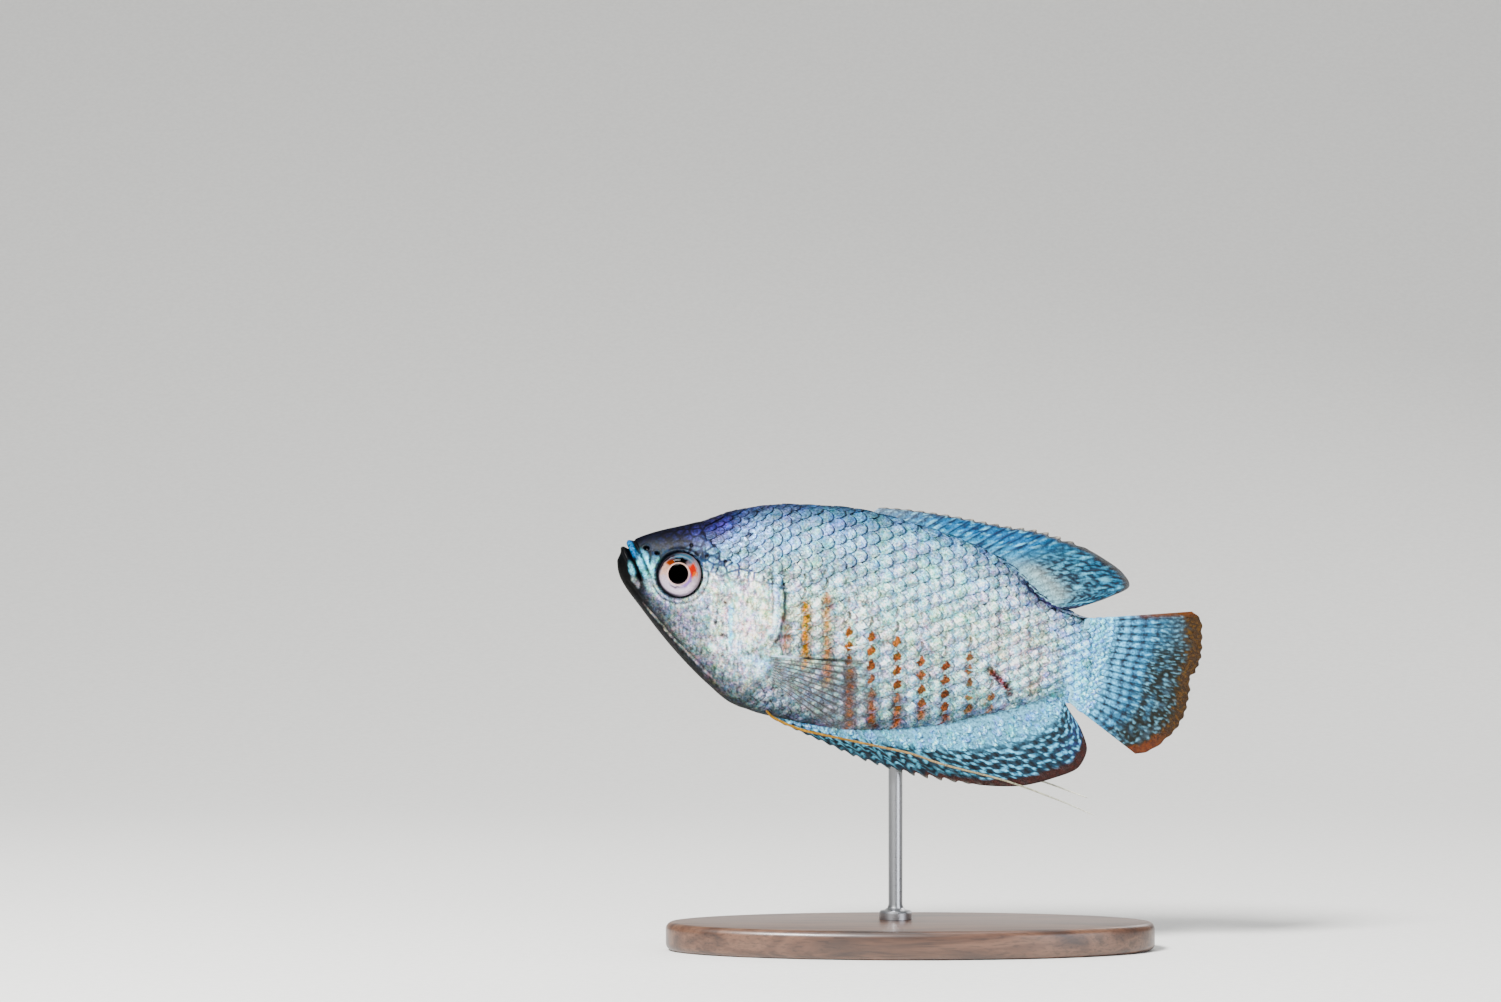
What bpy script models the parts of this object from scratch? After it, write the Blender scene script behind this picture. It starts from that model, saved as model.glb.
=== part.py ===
"""A dwarf gourami at life size, swimming with its nose a little up, held by a rod on a flat display stand.

The fish is modelled in its own frame: X runs from the tip of the lower jaw back to the tail, Z is up, and the
fish's left side is at -Y. One empty, fish_pose, then pitches the whole fish and carries it over the stand.
Lengths that are written as plain numbers below are in millimetres and are turned into metres by MM.
"""

import math

import bmesh
import bpy
import numpy as np
from mathutils import Matrix, Vector

MM = 0.001

# Driving sizes of the whole model
BODY_LENGTH = 60.5 * MM
NOSE_UP = math.radians(12.0)
SNOUT_HEIGHT = 49.0 * MM
HALF_REACH = 37.25 * MM
GAP = 0.3 * MM

# Side view of the body: (distance behind the jaw tip, height) in millimetres
BACK_LINE = [(0, 0.5), (0.4, 2.0), (1.3, 3.2), (3.4, 4.65), (8.7, 7.2), (13.6, 10.0), (20.2, 12.1),
             (29.5, 13.25), (37.0, 12.85), (43.5, 11.9), (47.0, 11.0), (50.0, 9.45), (53.0, 7.45),
             (56.0, 6.3), (60.5, 5.75)]
BELLY_LINE = [(0, 0.3), (0.35, -0.8), (1.0, -1.9), (4.1, -4.8), (9.4, -9.2), (14.5, -12.6), (18.0, -14.35),
              (22.0, -15.0), (28.5, -15.1), (33.5, -14.7), (40.0, -13.2), (47.0, -10.6), (55.0, -6.7),
              (58.0, -5.3), (60.5, -5.5)]
# Top view: half the body's breadth along its length
HALF_BREADTH = [(0, 0.25), (0.4, 0.95), (1.3, 1.5), (3.4, 2.15), (5.3, 2.75), (8.2, 3.45), (11.5, 4.1),
                (15.5, 4.65), (20.0, 4.85), (26.0, 4.85), (32.0, 4.55), (38.0, 4.05), (44.0, 3.4),
                (50.0, 2.65), (56.0, 1.75), (60.5, 0.95)]
# How far the belly narrows to a keel: 0 is an ellipse
KEEL_BELLY = [(0, 0.0), (10.0, 0.15), (22.0, 0.3), (36.0, 0.55), (60.5, 0.2)]
KEEL_BACK = 0.12
STATIONS = 34
SECTION_POINTS = 28
STATION_CROWDING = 1.45

# The tail swings gently to the fish's right
SWAY_FROM = 36.0 * MM
SWAY_AT_TAIL = 1.8 * MM
TAIL_END = 75.2 * MM

# Cuts that part the head from the body, and the jaws from the head, in the side view
GILL_CUT = [(13.4, 13.0), (16.2, 8.0), (18.8, 3.6), (20.2, -1.5), (20.0, -6.0), (18.6, -10.5), (17.6, -17.0)]
STALK_CUT = [(53.6, 11.0), (52.4, 4.0), (52.2, -1.0), (53.2, -10.0)]
MOUTH_CUT = [(-1.2, 3.6), (0.8, 2.35), (2.6, 0.0), (3.5, -1.35), (4.5, -3.0), (5.2, -7.5)]
LIP_CUT = [(1.5, 5.2), (2.35, 3.1), (3.25, 0.9), (3.5, -1.35)]
CUT_REACH = 9.0 * MM

# Lips: rolls that follow the mouth's edge from corner to corner, as (behind the tip, side, height)
UPPER_LIP = [(3.15, 1.75, -0.75), (2.2, 1.5, 0.9), (1.5, 0.85, 2.4), (1.25, 0.0, 2.95)]
LOWER_LIP = [(2.75, 1.72, -1.15), (1.6, 1.4, 0.35), (0.65, 0.7, 1.6), (0.45, 0.0, 2.0)]
UPPER_LIP_RADIUS = 0.42 * MM
LOWER_LIP_RADIUS = 0.40 * MM

# Eye: a flattened ball that looks a little forward and up, with the pupil's lens standing out of the iris
EYE_CENTRE = (8.2, 2.3, 0.3)
EYE_RADIUS = 2.85 * MM
EYE_DEPTH = 1.75 * MM
EYE_FORWARD = math.radians(11.0)
EYE_UP = math.radians(5.0)
PUPIL_RADIUS = 1.3 * MM
PUPIL_RISE = 0.22 * MM
ORBIT_RADIUS = 3.3 * MM
ORBIT_ROLL = 0.42 * MM
ORBIT_SET_BACK = 0.15 * MM
ORBIT_POINTS = 24
ORBIT_SIDES = 6
EYE_RINGS = 11
EYE_SEGMENTS = 22

# Nostrils, in front of the eye: (behind the tip, height, radius)
NOSTRILS = [(3.35, 2.7, 0.28), (4.8, 2.35, 0.24)]
NOSTRIL_STRETCH = 1.5
NOSTRIL_DEEP = 1.6

# Gill cover: its outline in the side view, its plate's rise above the flesh and its thickness
GILL_OUTLINE = [(18.2, 5.3), (20.3, 3.0), (21.4, -0.5), (21.5, -4.0), (20.2, -6.4), (17.6, -7.9),
                (15.0, -7.4), (14.0, -4.0), (14.1, 0.0), (15.2, 3.6)]
GILL_RISE = 0.28 * MM
GILL_PLATE = 0.9 * MM
GILL_REACH = 8.0 * MM
GILL_INNER_SIDE = 1.5 * MM
GILL_CORE_START = 10.0 * MM
GILL_CORE_END = 26.0 * MM
GILL_CORE_STATIONS = 10
GILL_OUTLINE_POINTS = 36

# Fins are membranes with a ridge for each ray
MEMBRANE = 0.52 * MM
RAY = 0.86 * MM
EDGE = 0.42 * MM
ROOT_SINK = 1.2 * MM
# Where a fin starts to thin to its edge, and how much of the way to EDGE it goes
THINS_FROM = 0.55
THINS_BY = 0.8

# Dorsal fin: where each share of the rays stands on the back, and where their tips end
DORSAL_RAYS = 24
DORSAL_ROOT = [(0.0, 29.6), (0.67, 49.0), (1.0, 54.8)]
DORSAL_TIPS = [(0.0, 31.2, 13.95), (0.1, 34.8, 14.45), (0.25, 40.6, 14.85), (0.42, 47.2, 15.0),
               (0.54, 51.9, 15.3), (0.64, 55.8, 14.8), (0.74, 60.2, 13.5), (0.82, 63.2, 12.1),
               (0.88, 64.3, 10.7), (0.94, 61.8, 8.6), (1.0, 58.2, 6.5)]

# Anal fin
ANAL_RAYS = 31
ANAL_ROOT = [(0.0, 23.0), (0.5, 40.0), (1.0, 58.2)]
ANAL_TIPS = [(0.0, 24.4, -15.5), (0.12, 30.0, -16.7), (0.25, 36.5, -18.05), (0.38, 43.0, -18.55),
             (0.5, 49.5, -18.1), (0.62, 55.2, -17.2), (0.74, 60.0, -15.1), (0.83, 62.9, -12.9),
             (0.89, 63.35, -10.9), (0.95, 62.1, -8.4), (1.0, 60.1, -6.35)]

# Tail fin
TAIL_RAYS = 16
TAIL_ROOT = [(0.0, 5.45), (1.0, -5.2)]
TAIL_ROOT_X = 59.6
TAIL_TIPS = [(0.0, 73.0, 9.2), (0.06, 74.2, 8.4), (0.15, 74.8, 6.4), (0.28, 75.2, 3.8), (0.40, 74.9, 1.75),
             (0.46, 74.35, 0.85), (0.53, 74.7, -0.6), (0.66, 74.75, -3.0), (0.78, 74.2, -5.4),
             (0.88, 72.9, -7.5), (0.95, 71.2, -9.3), (1.0, 69.7, -10.0)]
TAIL_ROOT_THICKNESS = 1.5 * MM
TAIL_FLESHY_TO = 0.3
TAIL_FORKS_FROM = 0.4
TAIL_FORKED_BY = 0.65
SCALLOP = 0.16 * MM

# Pectoral fins, spread back along the flank
PECTORAL_RAYS = 10
PECTORAL_ROOT = [(0.0, 21.2, -7.2), (1.0, 21.9, -10.3)]
PECTORAL_TIPS = [(0.0, 32.6, -5.3), (0.15, 34.4, -6.4), (0.35, 35.4, -8.9), (0.6, 35.2, -11.6),
                 (0.8, 33.7, -13.7), (1.0, 31.2, -15.0)]
PECTORAL_LOWEST_FOLLOWED = -10.0 * MM
PECTORAL_LIFT = [(0.0, -0.7), (0.12, 0.45), (0.35, 0.8), (1.0, 1.75)]

# Feelers: the thread-like pelvic fins, laid back along the anal fin, as (behind the tip, height)
LEFT_FEELER = [(22.0, -13.9), (23.6, -15.0), (28.5, -15.75), (34.0, -15.75), (40.5, -15.75), (46.0, -16.3),
               (53.0, -16.6), (60.8, -17.65), (65.9, -18.65)]
RIGHT_FEELER = [(22.0, -13.9), (23.6, -15.0), (28.5, -15.75), (34.0, -15.75), (40.5, -15.6), (46.0, -15.5),
                (53.0, -15.45), (58.7, -15.9), (64.9, -16.8)]
FEELER_SIDE = [(22.0, 0.75), (24.0, 1.1), (60.0, 1.15), (66.0, 1.3)]
FEELER_RADIUS = [(22.0, 0.36), (45.0, 0.3), (60.0, 0.25), (66.0, 0.14)]
FEELER_POINTS = 26

# Display stand
BASE_LENGTH = 62.0 * MM
BASE_BREADTH = 27.0 * MM
BASE_THICKNESS = 3.6 * MM
BASE_SIDES = 64
BASE_BEVEL = 0.9 * MM
ROD_RADIUS = 0.9 * MM
ROD_SIDE = 2.75 * MM
ROD_UNDER = (38.6, -11.0)
COLLAR_RADIUS = 2.1 * MM
COLLAR_HEIGHT = 1.1 * MM
ROD_TOP_HEIGHT = 34.0 * MM

# Edges sharper than this stay crisp in smooth shading
SHARP_ANGLE = math.radians(35)

# Colours, as linear red, green and blue, with roughness and metallic values
FINISHES = {
    "scales": ((0.38, 0.49, 0.55), 0.35, 0.25),
    "back": ((0.10, 0.16, 0.33), 0.38, 0.2),
    "fins": ((0.12, 0.38, 0.60), 0.42, 0.1),
    "clear fins": ((0.34, 0.36, 0.36), 0.4, 0.0),
    "feelers": ((0.66, 0.30, 0.10), 0.45, 0.0),
    "eye": ((0.62, 0.40, 0.42), 0.12, 0.0),
    "walnut": ((0.055, 0.028, 0.016), 0.35, 0.0),
    "steel": ((0.56, 0.57, 0.58), 0.25, 1.0),
}


def curve_through(points):
    """A smooth function through (place, value) points that never overshoots them: cubic pieces whose slopes
    are the harmonic mean of their neighbours'."""
    places = np.array([point[0] for point in points], float)
    values = np.array([point[1] for point in points], float)
    runs = np.diff(places)
    rises = np.diff(values) / runs
    slopes = np.zeros(len(points))
    slopes[0] = rises[0]
    slopes[-1] = rises[-1]
    for i in range(1, len(points) - 1):
        if rises[i - 1] * rises[i] > 0:
            slopes[i] = 2 * rises[i - 1] * rises[i] / (rises[i - 1] + rises[i])

    def value_at(place):
        place = min(max(place, places[0]), places[-1])
        i = min(int(np.searchsorted(places, place, side="right")) - 1, len(runs) - 1)
        run = runs[i]
        t = (place - places[i]) / run
        start = (1 + 2 * t) * (1 - t) ** 2 * values[i] + t * (1 - t) ** 2 * run * slopes[i]
        end = t * t * (3 - 2 * t) * values[i + 1] + t * t * (t - 1) * run * slopes[i + 1]
        return float(start + end)

    return value_at


def in_metres(points):
    """A smooth function of a place in metres, through points that are written in millimetres."""
    value_at = curve_through(points)
    return lambda place: value_at(place / MM) * MM


def path_through(points):
    """Smooth functions of a share from 0 to 1, one for each column after the first, from rows of numbers."""
    return [curve_through([(row[0], row[k]) for row in points]) for k in range(1, len(points[0]))]


back = in_metres(BACK_LINE)
belly = in_metres(BELLY_LINE)
half_breadth = in_metres(HALF_BREADTH)
belly_keel = curve_through(KEEL_BELLY)


def sway(x):
    """How far the swimming tail carries a point at x towards +Y."""
    return SWAY_AT_TAIL * (max(0.0, x - SWAY_FROM) / (TAIL_END - SWAY_FROM)) ** 2


def section_point(x, angle):
    """(y, z) on the body's skin at x, at an angle up from the fish's right side."""
    middle = (back(x) + belly(x)) / 2
    half_height = (back(x) - belly(x)) / 2
    keel = KEEL_BACK if math.sin(angle) > 0 else belly_keel(x / MM)
    across = math.copysign(abs(math.cos(angle)) ** (1 + keel), math.cos(angle))
    return half_breadth(x) * across, middle + half_height * math.sin(angle)


def flank(x, z):
    """Half the body's breadth at x and height z."""
    middle = (back(x) + belly(x)) / 2
    half_height = (back(x) - belly(x)) / 2
    angle = math.asin(min(1.0, max(-1.0, (z - middle) / half_height)))
    return section_point(x, angle)[0]


def new_object(name, mesh, collection):
    """An object of this mesh, linked to the collection."""
    thing = bpy.data.objects.new(name, mesh)
    collection.objects.link(thing)
    return thing


def object_of(name, shape, collection):
    """An object from a bmesh, which is freed."""
    mesh = bpy.data.meshes.new(name)
    shape.to_mesh(mesh)
    shape.free()
    return new_object(name, mesh, collection)


def loft(name, rings, collection, first_point=None):
    """A closed skin over rings of equally many points, from first_point, if there is one, or from a cap."""
    shape = bmesh.new()
    made = [[shape.verts.new(point) for point in ring] for ring in rings]
    count = len(made[0])
    for front, rear in zip(made, made[1:]):
        for k in range(count):
            after = (k + 1) % count
            shape.faces.new((front[k], rear[k], rear[after], front[after]))
    if first_point is None:
        shape.faces.new(made[0])
    else:
        tip = shape.verts.new(first_point)
        for k in range(count):
            shape.faces.new((tip, made[0][k], made[0][(k + 1) % count]))
    shape.faces.new(list(reversed(made[-1])))
    bmesh.ops.recalc_face_normals(shape, faces=shape.faces)
    return object_of(name, shape, collection)


def body_form(name, collection, grow=0.0, start=0.0, end=BODY_LENGTH, stations=STATIONS):
    """The whole body from start to end, its skin moved out by grow along its own normals."""
    angles = [2 * math.pi * k / SECTION_POINTS for k in range(SECTION_POINTS)]
    rings = []
    for i in range(1 if start == 0 else 0, stations + 1):
        x = start + (end - start) * (i / stations) ** (STATION_CROWDING if start == 0 else 1.0)
        ring = [section_point(x, angle) for angle in angles]
        rings.append([Vector((x, y + sway(x), z)) for y, z in ring])
    tip = Vector((0.0, 0.0, (back(0.0) + belly(0.0)) / 2)) if start == 0 else None
    form = loft(name, rings, collection, tip)
    if grow:
        normals = [vertex.normal.copy() for vertex in form.data.vertices]
        for vertex, normal in zip(form.data.vertices, normals):
            vertex.co += normal * grow
    return form


def as_mesh(thing):
    """The object's evaluated shape as a mesh of its own, in its own space."""
    graph = bpy.context.evaluated_depsgraph_get()
    return bpy.data.meshes.new_from_object(thing.evaluated_get(graph), depsgraph=graph)


def settle(thing):
    """Applies the object's modifiers and keeps its largest closed surface."""
    bpy.context.view_layer.update()
    mesh = as_mesh(thing)
    thing.modifiers.clear()
    thing.data = mesh
    surfaces = loose_parts(mesh)
    keep_only(mesh, max(surfaces, key=lambda faces: volume_of(mesh, faces)))
    return thing


def loose_parts(mesh):
    """The mesh's faces in groups that share no vertex."""
    owner = list(range(len(mesh.vertices)))

    def root(v):
        while owner[v] != v:
            owner[v] = owner[owner[v]]
            v = owner[v]
        return v

    for edge in mesh.edges:
        a, b = edge.vertices
        owner[root(a)] = root(b)
    groups = {}
    for face in mesh.polygons:
        groups.setdefault(root(face.vertices[0]), []).append(face.index)
    return list(groups.values())


def volume_of(mesh, faces):
    """The volume that these faces enclose."""
    total = 0.0
    for index in faces:
        corners = [mesh.vertices[v].co for v in mesh.polygons[index].vertices]
        for b, c in zip(corners[1:], corners[2:]):
            total += corners[0].dot(b.cross(c)) / 6
    return abs(total)


def keep_only(mesh, faces):
    """Deletes every face that isn't listed, and its loose vertices, and turns the rest outwards."""
    kept = set(faces)
    shape = bmesh.new()
    shape.from_mesh(mesh)
    bmesh.ops.delete(shape, geom=[face for face in shape.faces if face.index not in kept], context="FACES")
    bmesh.ops.delete(shape, geom=[vertex for vertex in shape.verts if not vertex.link_faces], context="VERTS")
    bmesh.ops.recalc_face_normals(shape, faces=shape.faces)
    shape.to_mesh(mesh)
    shape.free()


def carve(thing, cutter, operation="DIFFERENCE"):
    """Adds a Boolean of the thing with the cutter."""
    modifier = thing.modifiers.new(cutter.name, "BOOLEAN")
    modifier.operation = operation
    modifier.solver = "EXACT"
    modifier.object = cutter


def join_pieces(thing, pieces):
    """Fuses closed pieces into the thing with one union, and removes them."""
    group = bpy.data.collections.new(thing.name + "_pieces")
    bpy.context.scene.collection.children.link(group)
    for piece in pieces:
        for holder in list(piece.users_collection):
            holder.objects.unlink(piece)
        group.objects.link(piece)
    modifier = thing.modifiers.new("joined", "BOOLEAN")
    modifier.operation = "UNION"
    modifier.solver = "EXACT"
    modifier.operand_type = "COLLECTION"
    modifier.collection = group
    settle(thing)
    for piece in pieces:
        bpy.data.objects.remove(piece)
    bpy.data.collections.remove(group)


def cut_sheet(name, line, collection):
    """A slab as thick as the gap, standing on a line of the side view and reaching through the fish."""
    shape = bmesh.new()
    rows = [[shape.verts.new((x * MM, y, z * MM)) for x, z in line] for y in (-CUT_REACH, CUT_REACH)]
    for k in range(len(line) - 1):
        shape.faces.new((rows[0][k], rows[0][k + 1], rows[1][k + 1], rows[1][k]))
    sheet = object_of(name, shape, collection)
    wall = sheet.modifiers.new("wall", "SOLIDIFY")
    wall.thickness = GAP
    wall.offset = 0
    wall.use_even_offset = True
    return sheet


def smooth_line(points, count):
    """Points along a smooth line through the given ones, spread by their own order."""
    rows = [(k, *point) for k, point in enumerate(points)]
    columns = path_through(rows)
    shares = [(len(points) - 1) * i / (count - 1) for i in range(count)]
    return [tuple(column(share) for column in columns) for share in shares]


def smooth_outline(points, count):
    """Points of a closed smooth outline through the given ones, in millimetres."""
    total = len(points)
    outline = []
    for i in range(count):
        place = total * i / count
        k = int(place)
        t = place - k
        p0, p1, p2, p3 = (np.array(points[(k + step) % total], float) for step in (-1, 0, 1, 2))
        spot = 0.5 * (2 * p1 + (p2 - p0) * t + (2 * p0 - 5 * p1 + 4 * p2 - p3) * t ** 2
                      + (3 * p1 - p0 - 3 * p2 + p3) * t ** 3)
        outline.append((float(spot[0]), float(spot[1])))
    return outline


def outline_prism(name, outline, grow, side, collection):
    """An outline of the side view, grown by so much, as a solid on one side of the fish's middle."""
    middle = np.mean(outline, axis=0)
    shape = bmesh.new()
    rim = []
    for x, z in outline:
        away = Vector((x - middle[0], 0, z - middle[1])).normalized() * grow
        rim.append(shape.verts.new((x * MM + away.x, side * GILL_INNER_SIDE, z * MM + away.z)))
    face = shape.faces.new(rim)
    pushed = bmesh.ops.extrude_face_region(shape, geom=[face])
    moved = [item for item in pushed["geom"] if isinstance(item, bmesh.types.BMVert)]
    bmesh.ops.translate(shape, verts=moved, vec=(0, side * GILL_REACH, 0))
    bmesh.ops.recalc_face_normals(shape, faces=shape.faces)
    return object_of(name, shape, collection)


def roll(name, points, radius, collection, sides=2):
    """A round roll along points in metres, with one radius or one for each point, as a closed mesh."""
    line = bpy.data.curves.new(name, "CURVE")
    line.dimensions = "3D"
    line.bevel_depth = 1.0
    line.bevel_resolution = sides
    line.use_fill_caps = True
    spline = line.splines.new("POLY")
    spline.points.add(len(points) - 1)
    radii = radius if isinstance(radius, list) else [radius] * len(points)
    for place, point, width in zip(spline.points, points, radii):
        place.co = (*point, 1.0)
        place.radius = width
    curve = new_object(name + "_line", line, collection)
    bpy.context.view_layer.update()
    mesh = as_mesh(curve)
    bpy.data.objects.remove(curve)
    shape = bmesh.new()
    shape.from_mesh(mesh)
    bmesh.ops.remove_doubles(shape, verts=shape.verts, dist=0.001 * MM)
    bmesh.ops.recalc_face_normals(shape, faces=shape.faces)
    return object_of(name, shape, collection)


def lip_roll(name, line, radius, collection):
    """A lip from one corner of the mouth round to the other."""
    whole_line = line + [(x, -y, z) for x, y, z in reversed(line[:-1])]
    points = [Vector(point) * MM for point in smooth_line(whole_line, 19)]
    return roll(name, points, radius, collection)


def eye_matrix(side):
    """The eye's place and turn: its own +Z looks out of the head."""
    x, y, z = EYE_CENTRE
    outwards = Vector((-math.sin(EYE_FORWARD), side * math.cos(EYE_FORWARD), math.sin(EYE_UP))).normalized()
    turn = outwards.to_track_quat("Z", "Y").to_matrix().to_4x4()
    return Matrix.Translation((x * MM, side * y * MM, z * MM)) @ turn


def eye_ball(name, side, grow, collection, with_pupil):
    """The flattened eyeball, turned about the way it looks, from a profile of (radius, height)."""
    radius = EYE_RADIUS + grow
    depth = EYE_DEPTH + grow
    rise = PUPIL_RISE if with_pupil else 0.0
    profile = []
    for i in range(EYE_RINGS + 1):
        angle = math.pi * (0.5 - i / EYE_RINGS)
        profile.append((radius * math.cos(angle), depth * math.sin(angle)))
    if with_pupil:
        pupil_level = depth * math.sqrt(1 - (PUPIL_RADIUS / radius) ** 2)
        lens = [(0.0, depth + rise), (0.55 * PUPIL_RADIUS, depth + 0.8 * rise),
                (PUPIL_RADIUS, pupil_level + rise), (PUPIL_RADIUS * 1.08, pupil_level - 0.1 * MM)]
        profile = lens + [point for point in profile if point[0] > PUPIL_RADIUS * 1.2 or point[1] < 0]
    shape = bmesh.new()
    line = [shape.verts.new((r, 0, h)) for r, h in profile]
    edges = [shape.edges.new(pair) for pair in zip(line, line[1:])]
    bmesh.ops.spin(shape, geom=line + edges, cent=(0, 0, 0), axis=(0, 0, 1), angle=2 * math.pi,
                   steps=EYE_SEGMENTS, use_merge=True)
    bmesh.ops.remove_doubles(shape, verts=shape.verts, dist=0.001 * MM)
    bmesh.ops.recalc_face_normals(shape, faces=shape.faces)
    shape.transform(eye_matrix(side))
    return object_of(name, shape, collection)


def orbit_rim(name, side, collection):
    """The roll of skin round the eye, lying on the cheek."""
    frame = eye_matrix(side)
    points = []
    for i in range(ORBIT_POINTS):
        turn = 2 * math.pi * i / ORBIT_POINTS
        spot = frame @ Vector((ORBIT_RADIUS * math.cos(turn), ORBIT_RADIUS * math.sin(turn), 0))
        points.append(Vector((spot.x, side * (flank(spot.x, spot.z) - ORBIT_SET_BACK), spot.z)))
    rings = []
    middle = sum(points, Vector()) / ORBIT_POINTS
    for point in points:
        out = (point - middle).normalized()
        ring = []
        for k in range(ORBIT_SIDES):
            angle = 2 * math.pi * k / ORBIT_SIDES
            ring.append(point + (out * math.cos(angle) + Vector((0, 1, 0)) * math.sin(angle)) * ORBIT_ROLL)
        rings.append(ring)
    shape = bmesh.new()
    made = [[shape.verts.new(spot) for spot in ring] for ring in rings]
    for i in range(ORBIT_POINTS):
        here, there = made[i], made[(i + 1) % ORBIT_POINTS]
        for k in range(ORBIT_SIDES):
            after = (k + 1) % ORBIT_SIDES
            shape.faces.new((here[k], there[k], there[after], here[after]))
    bmesh.ops.recalc_face_normals(shape, faces=shape.faces)
    return object_of(name, shape, collection)


def nostril_pit(name, nostril, side, collection):
    """An oval pit, sunk half into the skin."""
    x, z, radius = (value * MM for value in nostril)
    shape = bmesh.new()
    bmesh.ops.create_uvsphere(shape, u_segments=10, v_segments=6, radius=radius)
    stretch = Matrix.Diagonal((NOSTRIL_STRETCH, NOSTRIL_DEEP, 1.0, 1.0))
    shape.transform(Matrix.Translation((x, side * flank(x, z), z)) @ stretch)
    return object_of(name, shape, collection)


def fin(name, columns, rows, place, thickness, collection):
    """A fin from an open sheet. place(across, out) sets each vertex, from 0 to 1 along the root and from root
    to edge, and thickness(across, out) how thick the fin is there. Both faces get the same triangles."""
    shape = bmesh.new()
    bmesh.ops.create_grid(shape, x_segments=columns, y_segments=rows, size=1)
    shape.verts.index_update()
    bmesh.ops.triangulate(shape, faces=shape.faces, quad_method="FIXED")
    shares = [((vertex.co.x + 1) / 2, (vertex.co.y + 1) / 2) for vertex in shape.verts]
    for vertex, (across, out) in zip(shape.verts, shares):
        vertex.co = place(across, out)
    sheet = object_of(name, shape, collection)
    weights = sheet.vertex_groups.new(name="thickness")
    thickest = max(thickness(across, out) for across, out in shares)
    for index, (across, out) in enumerate(shares):
        weights.add([index], thickness(across, out) / thickest, "REPLACE")
    wall = sheet.modifiers.new("wall", "SOLIDIFY")
    wall.thickness = thickest
    wall.offset = 0
    wall.vertex_group = weights.name
    return settle(sheet)


def ridge(across, rays):
    """1 on a ray and 0 halfway to the next."""
    return 0.5 - 0.5 * math.cos(2 * math.pi * across * rays)


def ray_thickness(rays):
    """The thickness of a fin with so many rays: membrane between them, and all of it thinner to the edge."""
    def thickness(across, out):
        full = MEMBRANE + (RAY - MEMBRANE) * ridge(across, rays) * (1 - 0.5 * out)
        return full + (EDGE - full) * THINS_BY * max(0.0, out - THINS_FROM) / (1 - THINS_FROM)

    return thickness


def median_fin(name, rays, root, tips, edge_line, inwards, rows, collection):
    """A fin that stands in the fish's middle plane on the back or belly, each ray leaning back."""
    root_x = curve_through(root)
    tip_x, tip_z = path_through(tips)

    def place(across, out):
        base_x = root_x(across) * MM
        base = Vector((base_x, 0, edge_line(base_x) + inwards * ROOT_SINK))
        tip = Vector((tip_x(across) * MM, 0, tip_z(across) * MM))
        spot = base.lerp(tip, out)
        spot.y = sway(spot.x)
        return spot

    return fin(name, 2 * rays, rows, place, ray_thickness(rays), collection)


def tail_fin(name, collection):
    """The tail fin: rays that fan out and fork, a thick root, and a scalloped edge."""
    root_z = curve_through(TAIL_ROOT)
    tip_x, tip_z = path_through(TAIL_TIPS)

    def place(across, out):
        base = Vector((TAIL_ROOT_X * MM, 0, root_z(across) * MM))
        scallop = SCALLOP * math.cos(2 * math.pi * across * TAIL_RAYS)
        tip = Vector((tip_x(across) * MM - scallop, 0, tip_z(across) * MM))
        spot = base.lerp(tip, out)
        spot.y = sway(spot.x)
        return spot

    def thickness(across, out):
        forked = ridge(across, 2 * TAIL_RAYS)
        single = ridge(across, TAIL_RAYS)
        share = min(1.0, max(0.0, (out - TAIL_FORKS_FROM) / (TAIL_FORKED_BY - TAIL_FORKS_FROM)))
        ray = single + (forked - single) * share
        full = MEMBRANE + (RAY - MEMBRANE) * ray * (1 - 0.4 * out)
        fleshy = max(0.0, 1 - out / TAIL_FLESHY_TO) ** 1.5
        full += (TAIL_ROOT_THICKNESS - full) * fleshy
        return full + (EDGE - full) * THINS_BY * max(0.0, out - THINS_FROM) / (1 - THINS_FROM)

    return fin(name, 4 * TAIL_RAYS, 7, place, thickness, collection)


def pectoral_fin(name, side, collection):
    """A side fin whose rays lie back along the flank and stand off it towards their tips."""
    root_x, root_z = path_through(PECTORAL_ROOT)
    tip_x, tip_z = path_through(PECTORAL_TIPS)
    lift = curve_through(PECTORAL_LIFT)

    def place(across, out):
        x = (root_x(across) * (1 - out) + tip_x(across) * out) * MM
        z = (root_z(across) * (1 - out) + tip_z(across) * out) * MM
        y = flank(x, max(z, PECTORAL_LOWEST_FOLLOWED)) + lift(out) * MM
        return Vector((x, side * y, z))

    return fin(name, 2 * PECTORAL_RAYS, 8, place, ray_thickness(PECTORAL_RAYS), collection)


def feeler(name, line, side, collection):
    """A pelvic fin's long thread, tapering to its tip."""
    height = curve_through(line)
    aside = curve_through(FEELER_SIDE)
    width = curve_through(FEELER_RADIUS)
    places = [line[0][0] + (line[-1][0] - line[0][0]) * i / (FEELER_POINTS - 1) for i in range(FEELER_POINTS)]
    points = [Vector((x * MM, side * aside(x) * MM + sway(x * MM), height(x) * MM)) for x in places]
    return roll(name, points, [width(x) * MM for x in places], collection)


def gill_cover(name, side, grown_body, core, collection, cutters):
    """A curved plate over the gills that stands a little out of the flesh."""
    outline = smooth_outline(GILL_OUTLINE, GILL_OUTLINE_POINTS)
    plate = outline_prism(name, outline, 0.0, side, collection)
    carve(plate, grown_body, "INTERSECT")
    settle(plate)
    carve(plate, core)
    settle(plate)
    recess = outline_prism(name + "_recess", outline, GAP, side, cutters)
    return plate, recess


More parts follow.
